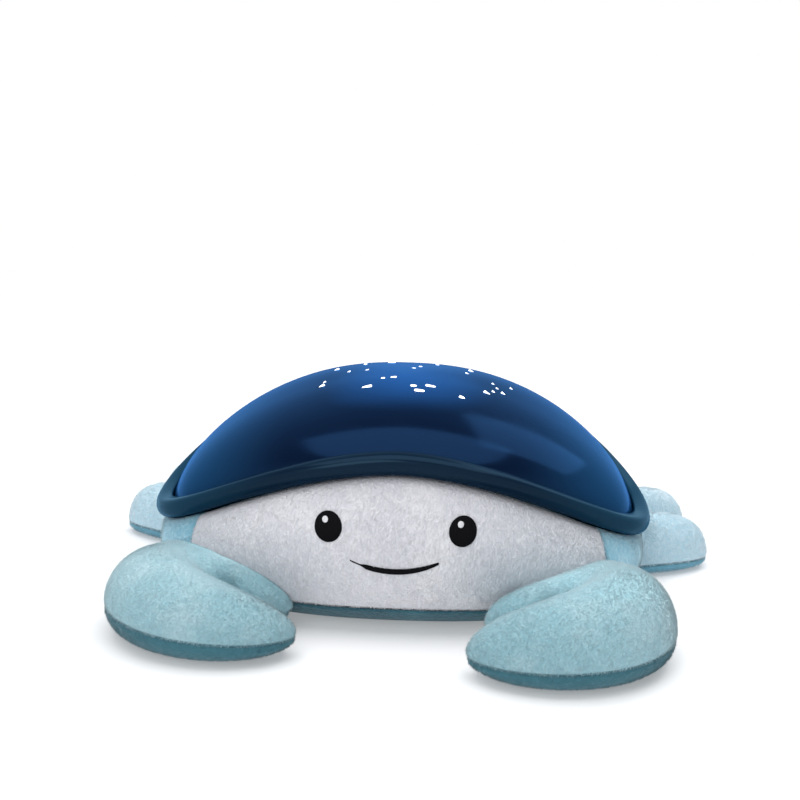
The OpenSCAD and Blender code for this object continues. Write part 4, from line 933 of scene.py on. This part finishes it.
# Painted light: the claws' plush painted paler, as if more brightly lit, nearly white in its lighter patches;
# its lower panel is a darker fabric, deepened by painted shade.
lit_leg_pile = plush("brushed_blue_legs_painted_light", "#b4d9e8", "#cfe6f2", "#e2f0f8", "#6fa6bb")
for obj, cloth in ([(o, blue_pile) for o in claws] + [(o, lit_leg_pile) for o in legs]
                   + [(body, shaded_side_pile), (face, white_pile), (belly, teal_quilt_and_shade)]):
    dress(obj, cloth)
print("plush materials:", [m.name for m in (blue_pile, lit_leg_pile, shaded_side_pile, white_pile, teal_quilt_and_shade)])

# %% [markdown]
# ## A coat of fibres
#
# A material alone leaves the edge of the plush as smooth as clay. Hair could grow a coat, but hair is no mesh
# and is not passed on. So each fibre is a closed spike of four faces. The spikes are scattered by area with a
# fixed seed, laid over in slow waves, and shaded with the direction of the cloth below, so that they read as
# one soft coat. None grows where thread, the lip, the floor or another piece lies on the cloth.

# %% Places and directions
def scattered(obj, count, rng):
    """Random places on a mesh: triangles drawn by area, then two random numbers for the place in each."""
    mesh = obj.data
    mesh.calc_loop_triangles()
    corners = np.empty(len(mesh.loop_triangles)*3, np.int32)
    mesh.loop_triangles.foreach_get("vertices", corners)
    areas = np.empty(len(mesh.loop_triangles))
    mesh.loop_triangles.foreach_get("area", areas)
    chosen = corners.reshape(-1, 3)[rng.choice(len(areas), count, p=areas/areas.sum())]
    r, q = np.sqrt(rng.random(count)), rng.random(count)
    weights = np.stack([1 - r, r*(1 - q), r*q], -1)[..., None]
    place, out = [(values[chosen]*weights).sum(1) for values in (points_of(obj), normals_of(obj))]
    return place, unit(out)


def combed(place, out, rng):
    """Direction of each fibre: outwards, laid over by slow waves along the cloth and by a random share."""
    x, y = place[:, 0], place[:, 1]
    slow = np.stack([np.sin(0.09*y + 0.05*x + 1), np.sin(0.08*x + 2), -1.2 + 0.6*np.sin(0.07*x + 0.06*y)], -1)
    lay = slow*0.7 + rng.normal(0, 0.4, place.shape)
    return unit(out + lay - (lay*out).sum(1)[:, None]*out)


def clear_of_stitches(q):
    """Keeps the pile of the face off the eyes, the mouth and the lip."""
    x, y, z = q.T
    eye = ((np.abs(x) - EYE_X)/5.8)**2 + ((z - EYE_Z)/6.3)**2 < 1
    bow = (np.abs(x) < 19) & (np.abs(z - MOUTH_Z - MOUTH_BOW*(x/MOUTH_HALF)**2) < 0.9)
    return ~eye & ~bow & (z < body_top(angle_of(x, y)) - 1.2)


def clear_of_body(q):
    """Keeps the pile of a limb off the floor and off the body that it leans on."""
    return (q[:, 2] > 1.2) & (np.abs(pressed_out(q, 2.2) - q).max(1) < 1e-6)


def clear_of_limbs(q):
    """Keeps the pile of the sides off the face, the lip, the belly seam and the limbs that lean on it."""
    t, z = angle_of(q[:, 0], q[:, 1]), q[:, 2]
    free = (off_face(t) > face_edge(1) + 0.02) & (z > SEAM_Z + 1) & (z < body_top(t) - 1.5)
    limbs = [(path, side, *size) for path, *size in ((CLAW, 28, 45), (PINCER, 19, 38))
             for side in SIDES.values()]
    limbs += [(leg_path(root, bearing)[1], side, 17, 31) for _, root, bearing, _, side in LEGS]
    for path, side, reach, high in limbs:
        near = level_curve(path, along_curve(q, path, side), side)
        free &= (np.linalg.norm(q[:, :2] - near, axis=1) > reach) | (z > high)
    return free


print("seats of limbs on the sides:", 2*len(claws) + len(LEGS))

# %% Spikes
FIBRE_WIDE, FIBRE_LONG, FIBRE_SEED = 0.28, 1.1, 7
SPIKE = np.array([[0, 1, 3], [1, 2, 3], [2, 0, 3], [2, 1, 0]])


def spikes(place, out, way, long):
    """A small triangle sunk in the cloth at each place, and a tip at the fibre's length: four points each."""
    across = unit(np.cross(way, out + [0.01, 0.02, 0]))
    other = np.cross(out, across)
    a = 2*np.pi*np.arange(3)[None, :, None]/3
    foot = (place - 0.1*out)[:, None] + FIBRE_WIDE/2*(np.cos(a)*across[:, None] + np.sin(a)*other[:, None])
    return np.concatenate([foot, (place + way*long[:, None])[:, None]], 1).reshape(-1, 3)


def pile(obj, fibre, count, long, free, below=None, *where):
    """A coat of spikes on the free places of a piece; attributes tell tips, shades and the panel below."""
    rng = np.random.default_rng(FIBRE_SEED)
    place, out = scattered(obj, count, rng)
    keep = free(place)
    place, out = place[keep], out[keep]
    number = len(place)
    way = combed(place, out, rng)
    points = spikes(place, out, way, long*rng.uniform(0.6, 1.1, number))
    faces = (4*np.arange(number)[:, None, None] + SPIKE).reshape(-1, 3)
    mesh = bpy.data.meshes.new("pile." + obj.name)
    mesh.from_pydata(to_row(points).tolist(), [], faces.tolist())
    mesh.shade_smooth()
    mesh.normals_split_custom_set_from_vertices(np.repeat(out, 4, 0).tolist())
    mesh.materials.append(fibre)
    coat = bpy.data.objects.new("pile." + obj.name, mesh)
    scene.collection.objects.link(coat)
    set_values(coat, "tip", np.tile([0, 0, 0, 1], number))
    set_values(coat, "shade", np.repeat(rng.random(number), 4))
    set_values(coat, "under", np.repeat(below(place, *where) if below else np.zeros(number), 4))
    return coat


def fibres(name, root, dark, light, under):
    """Matt fibre, each a little different, pale-edged: root painted in shade; below a seam, darker fabric and
    painted shade.
    """
    strand = blank_material(name)
    shade, tip, low = [add(strand, "Attribute", attribute_name=key).outputs["Fac"]
                       for key in ("shade", "tip", "under")]
    colour = between(strand, shade, linear(dark), linear(light))
    colour = between(strand, ramped(strand, tip, 0.0, 0.7), linear(root), colour)
    colour = between(strand, low, colour, linear(under))
    return surfaced(strand, add(strand, "BsdfPrincipled", {
        "Base Color": colour, "Roughness": 0.9, "Specular IOR Level": 0.15,
        "Sheen Weight": 0.2, "Sheen Roughness": 0.5}))


print("faces of a fibre:", len(SPIKE))

# %% Coats
# Strands painted darker at the root, as shade deep in the pile, so that each coat looks deep and soft. Below
# a seam they take a darker panel colour, deepened by painted shade.
white_fibre = fibres("white_fibres", "#d3d4db", "#e4e4e8", "#fbfafc", "#d3d4db")
blue_fibre = fibres("blue_fibres", "#98c5d1", "#acd2dc", "#cde4eb", "#497a88")
# Painted light: the legs' strands are painted paler, as if more brightly lit.
lit_leg_fibre = fibres("leg_fibres_painted_light", "#b4d9e8", "#cfe6f2", "#eaf5fb", "#6fa6bb")
coats = [pile(face, white_fibre, 45000, 1.15, clear_of_stitches)]
coats += [pile(claw, blue_fibre, 48000, FIBRE_LONG, clear_of_body, claw_panel_and_painted_shade, side)
          for claw, side in zip(claws, SIDES.values())]
coats += [pile(leg, lit_leg_fibre, 11000, FIBRE_LONG, clear_of_body, below_leg, root, bearing, side)
          for leg, (_, root, bearing, _, side) in zip(legs, LEGS)]
coats.append(pile(body, blue_fibre, 90000, FIBRE_LONG, clear_of_limbs))
print("fibres:", [len(o.data.polygons)//4 for o in coats])

# %% Satin stitch
def satin_stitch(name, dark, light, rough):
    """Embroidery thread: fine parallel bands of about a third of a millimetre, with a silky gloss on them."""
    thread = blank_material(name)
    place = add(thread, "TexCoord").outputs["Object"]
    bands = add(thread, "TexWave", {"Vector": place, "Scale": 480.0, "Distortion": 1.2, "Detail": 2.0},
                bands_direction="X")
    colour = between(thread, bands.outputs["Fac"], linear(dark), linear(light))
    bump = add(thread, "Bump", {"Strength": 0.5, "Distance": 0.0002, "Height": bands.outputs["Fac"]})
    return surfaced(thread, add(thread, "BsdfPrincipled", {
        "Base Color": colour, "Roughness": rough, "Specular IOR Level": 0.06, "Normal": bump.outputs[0]}))


# A black that takes a faint silky light, and white dots that make the eyes look awake.
black_thread = satin_stitch("black_satin_stitch", "#030305", "#0d0d11", 0.55)
white_thread = satin_stitch("white_satin_stitch", "#d8d8dc", "#f4f4f6", 0.45)
for obj in eyes + [mouth] + glints:
    dress(obj, white_thread if obj in glints else black_thread)
print("stitches:", black_thread.name, white_thread.name)

# %% [markdown]
# ## Tinted plastic
#
# The dome is deep blue polycarbonate, polished in the mould. Full glass would show every part inside, which
# the thick tint hides, so it is mostly a dark gloss: its crown is painted a lighter blue, as the lamp inside
# would light it, and it turns teal at the tips.

# %% Shell materials
PAINTED_GLOW_Z, TIP_X = (0.0965, 0.1065), (0.05, 0.118)


def tinted_shell(name, crown, middle, tip, shine, rough):
    """Moulded tint: middle turns to crown, a painted lamp glow, with height, and to tip sideways, under a
    gloss.
    """
    tint = blank_material(name)
    place = add(tint, "TexCoord").outputs["Object"]
    split = add(tint, "SeparateXYZ", {0: place}).outputs
    across = maths(tint, "ABSOLUTE", maths(tint, "ADD", split[0], -AXIS[0]/1000))
    uneven = maths(tint, "MULTIPLY_ADD", noise(tint, place, 14.0, 2.0), 0.006, split[2])
    # Painted light: towards the crown the colour turns a lighter blue, as if lit by the lamp inside.
    colour = between(tint, ramped(tint, uneven, *PAINTED_GLOW_Z), linear(middle), linear(crown))
    colour = between(tint, ramped(tint, across, *TIP_X), colour, linear(tip))
    haze = noise(tint, place, 60.0, 3.0)
    deep = add(tint, "BsdfPrincipled", {"Base Color": colour, "Roughness": 0.4, "Specular IOR Level": 0.0})
    gloss = {"Color": linear(shine), "Roughness": ramped(tint, haze, 0.3, 0.7, rough, rough + 0.05)}
    edge = add(tint, "Fresnel", {"IOR": 1.4}).outputs[0]
    layers = {0: ramped(tint, edge, 0.02, 0.6, 0.03, 0.42), 1: deep.outputs[0],
              2: add(tint, "BsdfGlossy", gloss).outputs[0]}
    return surfaced(tint, add(tint, "MixShader", layers))


# A deep blue gloss whose crown is painted lighter, as if lit from inside, over a darker, duller lip.
dress(dome, tinted_shell("tinted_blue_polycarbonate", "#1f559a", "#071329", "#143f63", "#5b9ff2", 0.12))
dress(rim, tinted_shell("tinted_teal_rim", "#0a1a2d", "#0a1a2d", "#12364c", "#79a9c8", 0.16))
print("shell materials:", dome.data.materials[0].name, rim.data.materials[0].name)

# %% [markdown]
# ## The parts that keep their own solids
#
# Housing, gears, boards, cells and screws are rigid and already right, so only their finish is made here. A
# material for each would repeat the same nodes, so they share one recipe of colour, gloss and grain, with the
# numbers of each real finish: two colours, roughness, grain, relief, and for metals how far they are drawn.

# %% Finishes of the solids
def moulded(name, dark, light, rough, grain_mm, relief_mm, metal=0.0, drawn=1.0, glow=0.0):
    """A grain of the given size mottles the colour, the gloss and the relief; drawn stretches it along x."""
    made = blank_material(name)
    place = add(made, "TexCoord").outputs["Object"]
    place = add(made, "Mapping", {"Vector": place, "Scale": (1/drawn, 1, 1)}).outputs[0]
    grain = noise(made, place, 1000/grain_mm, 3.0)
    colour = between(made, ramped(made, noise(made, place, 45.0, 2.0), 0.3, 0.7), linear(dark), linear(light))
    bump = add(made, "Bump", {"Strength": 0.4, "Distance": relief_mm/1000, "Height": grain})
    settings = {"Base Color": colour, "Roughness": ramped(made, grain, 0.3, 0.7, rough, rough + 0.12),
                "Metallic": metal, "Normal": bump.outputs[0]}
    if glow:
        settings.update({"Emission Color": colour, "Emission Strength": glow})
    return surfaced(made, add(made, "BsdfPrincipled", settings))


FINISHES = {
    # Sparked mould: an even white without glare.
    "housing": ("sparked_white_housing", "#d3d8db", "#e2e5e7", 0.5, 0.5, 0.06),
    # Matt black: swallows stray light.
    "mask_black": ("matt_black_mask", "#121315", "#1d1f22", 0.6, 0.4, 0.05),
    # Acetal: milky, with soft lights on the teeth.
    "gear_white": ("satin_acetal", "#e2e0da", "#f0eeea", 0.35, 0.8, 0.02),
    # Keys: pale against the dome, easy to find.
    "button_grey": ("satin_grey_keys", "#c9d5dc", "#dbe5ea", 0.3, 0.5, 0.02),
    # Solder mask: glossy green with a faint weave.
    "board": ("solder_mask", "#1c5c39", "#2a7a4d", 0.35, 1.2, 0.03),
    # Moulded parts: dull, nearly black.
    "component_black": ("moulded_black_parts", "#17181b", "#26282c", 0.45, 0.4, 0.04),
    # Lamp: a white that looks filled with light.
    "led_white": ("diffused_lamp_white", "#f2f2ea", "#ffffff", 0.3, 0.8, 0.02),
    # Paper: rough fibres and no highlight.
    "cone_grey": ("pressed_paper_cone", "#2b2d31", "#3c3f44", 0.8, 0.7, 0.12),
    # Film: smooth, a sharp light along the cell.
    "cell_wrap": ("printed_cell_film", "#1b1d22", "#2b2e35", 0.25, 2.0, 0.01),
    # Drawn steel and turned brass: bright and streaked.
    "steel": ("drawn_steel", "#a9acb1", "#c8cacd", 0.25, 0.3, 0.02, 1.0, 8.0),
    "brass": ("turned_brass", "#b58f3c", "#d0ab57", 0.25, 0.3, 0.02, 1.0, 6.0),
    # Rippled disc: a gloss broken by wide waves.
    "disc_clear": ("clear_rippled_disc", "#cfe0e8", "#e4eff3", 0.08, 3.0, 0.05),
}
finishes = {slot: moulded(*numbers) for slot, numbers in FINISHES.items()}
# Window plugs: bright as if the lamp were on.
finishes["window_clear"] = moulded("lit_window_plugs", "#f4f9ff", "#ffffff", 0.2, 0.8, 0.02, glow=1.6)
print("finishes of the solids:", len(finishes))

# %% Give them to the solids
slot_of = {row["node"]: row["material_slot"] for row in frame["record"]["subparts"]}
for node, obj in frame["nodes"].items():
    if slot_of[node] in finishes:
        dress(obj, finishes[slot_of[node]])
print("solids with a finish:", sum(slot in finishes for slot in slot_of.values()))

# %% [markdown]
# ## Tie the pieces to the model
#
# Each row lists a new skin, a slot of the record, how full it is if stuffed, and the solids it stands for.
# The skin hides those solids and rides on the crab.

# %% Pieces and bodies
TIES = [
    (dome, "shell_tint", None, ["shell_dome"]), (rim, "rim_tint", None, ["rim_shell"]),
    (body, "plush_blue", 0.8, ["plush_body"]), (face, "plush_white", 0.7, ["face_panel"]),
    (belly, "belly_teal", 0.5, ["belly_panel"]), (mouth, "thread_black", None, ["mouth"]),
    (eyes[0], "thread_black", None, ["left_eye"]), (eyes[1], "thread_black", None, ["right_eye"]),
    (glints[0], "plush_white", None, []), (glints[1], "plush_white", None, []),
    (claws[0], "plush_blue", 0.8, ["left_claw"]), (claws[1], "plush_blue", 0.8, ["right_claw"]),
    (legs[0], "plush_blue", 0.8, ["left_front_leg"]), (legs[1], "plush_blue", 0.8, ["left_rear_leg"]),
    (legs[2], "plush_blue", 0.8, ["right_front_leg"]), (legs[3], "plush_blue", 0.8, ["right_rear_leg"]),
]
TIES += [(coats[0], "plush_white", None, [])] + [(o, "plush_blue", None, []) for o in coats[1:]]
for piece, slot_name, fill, nodes in TIES:
    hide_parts(*nodes)
    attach(piece, "crab")
print("pieces tied:", len(TIES))
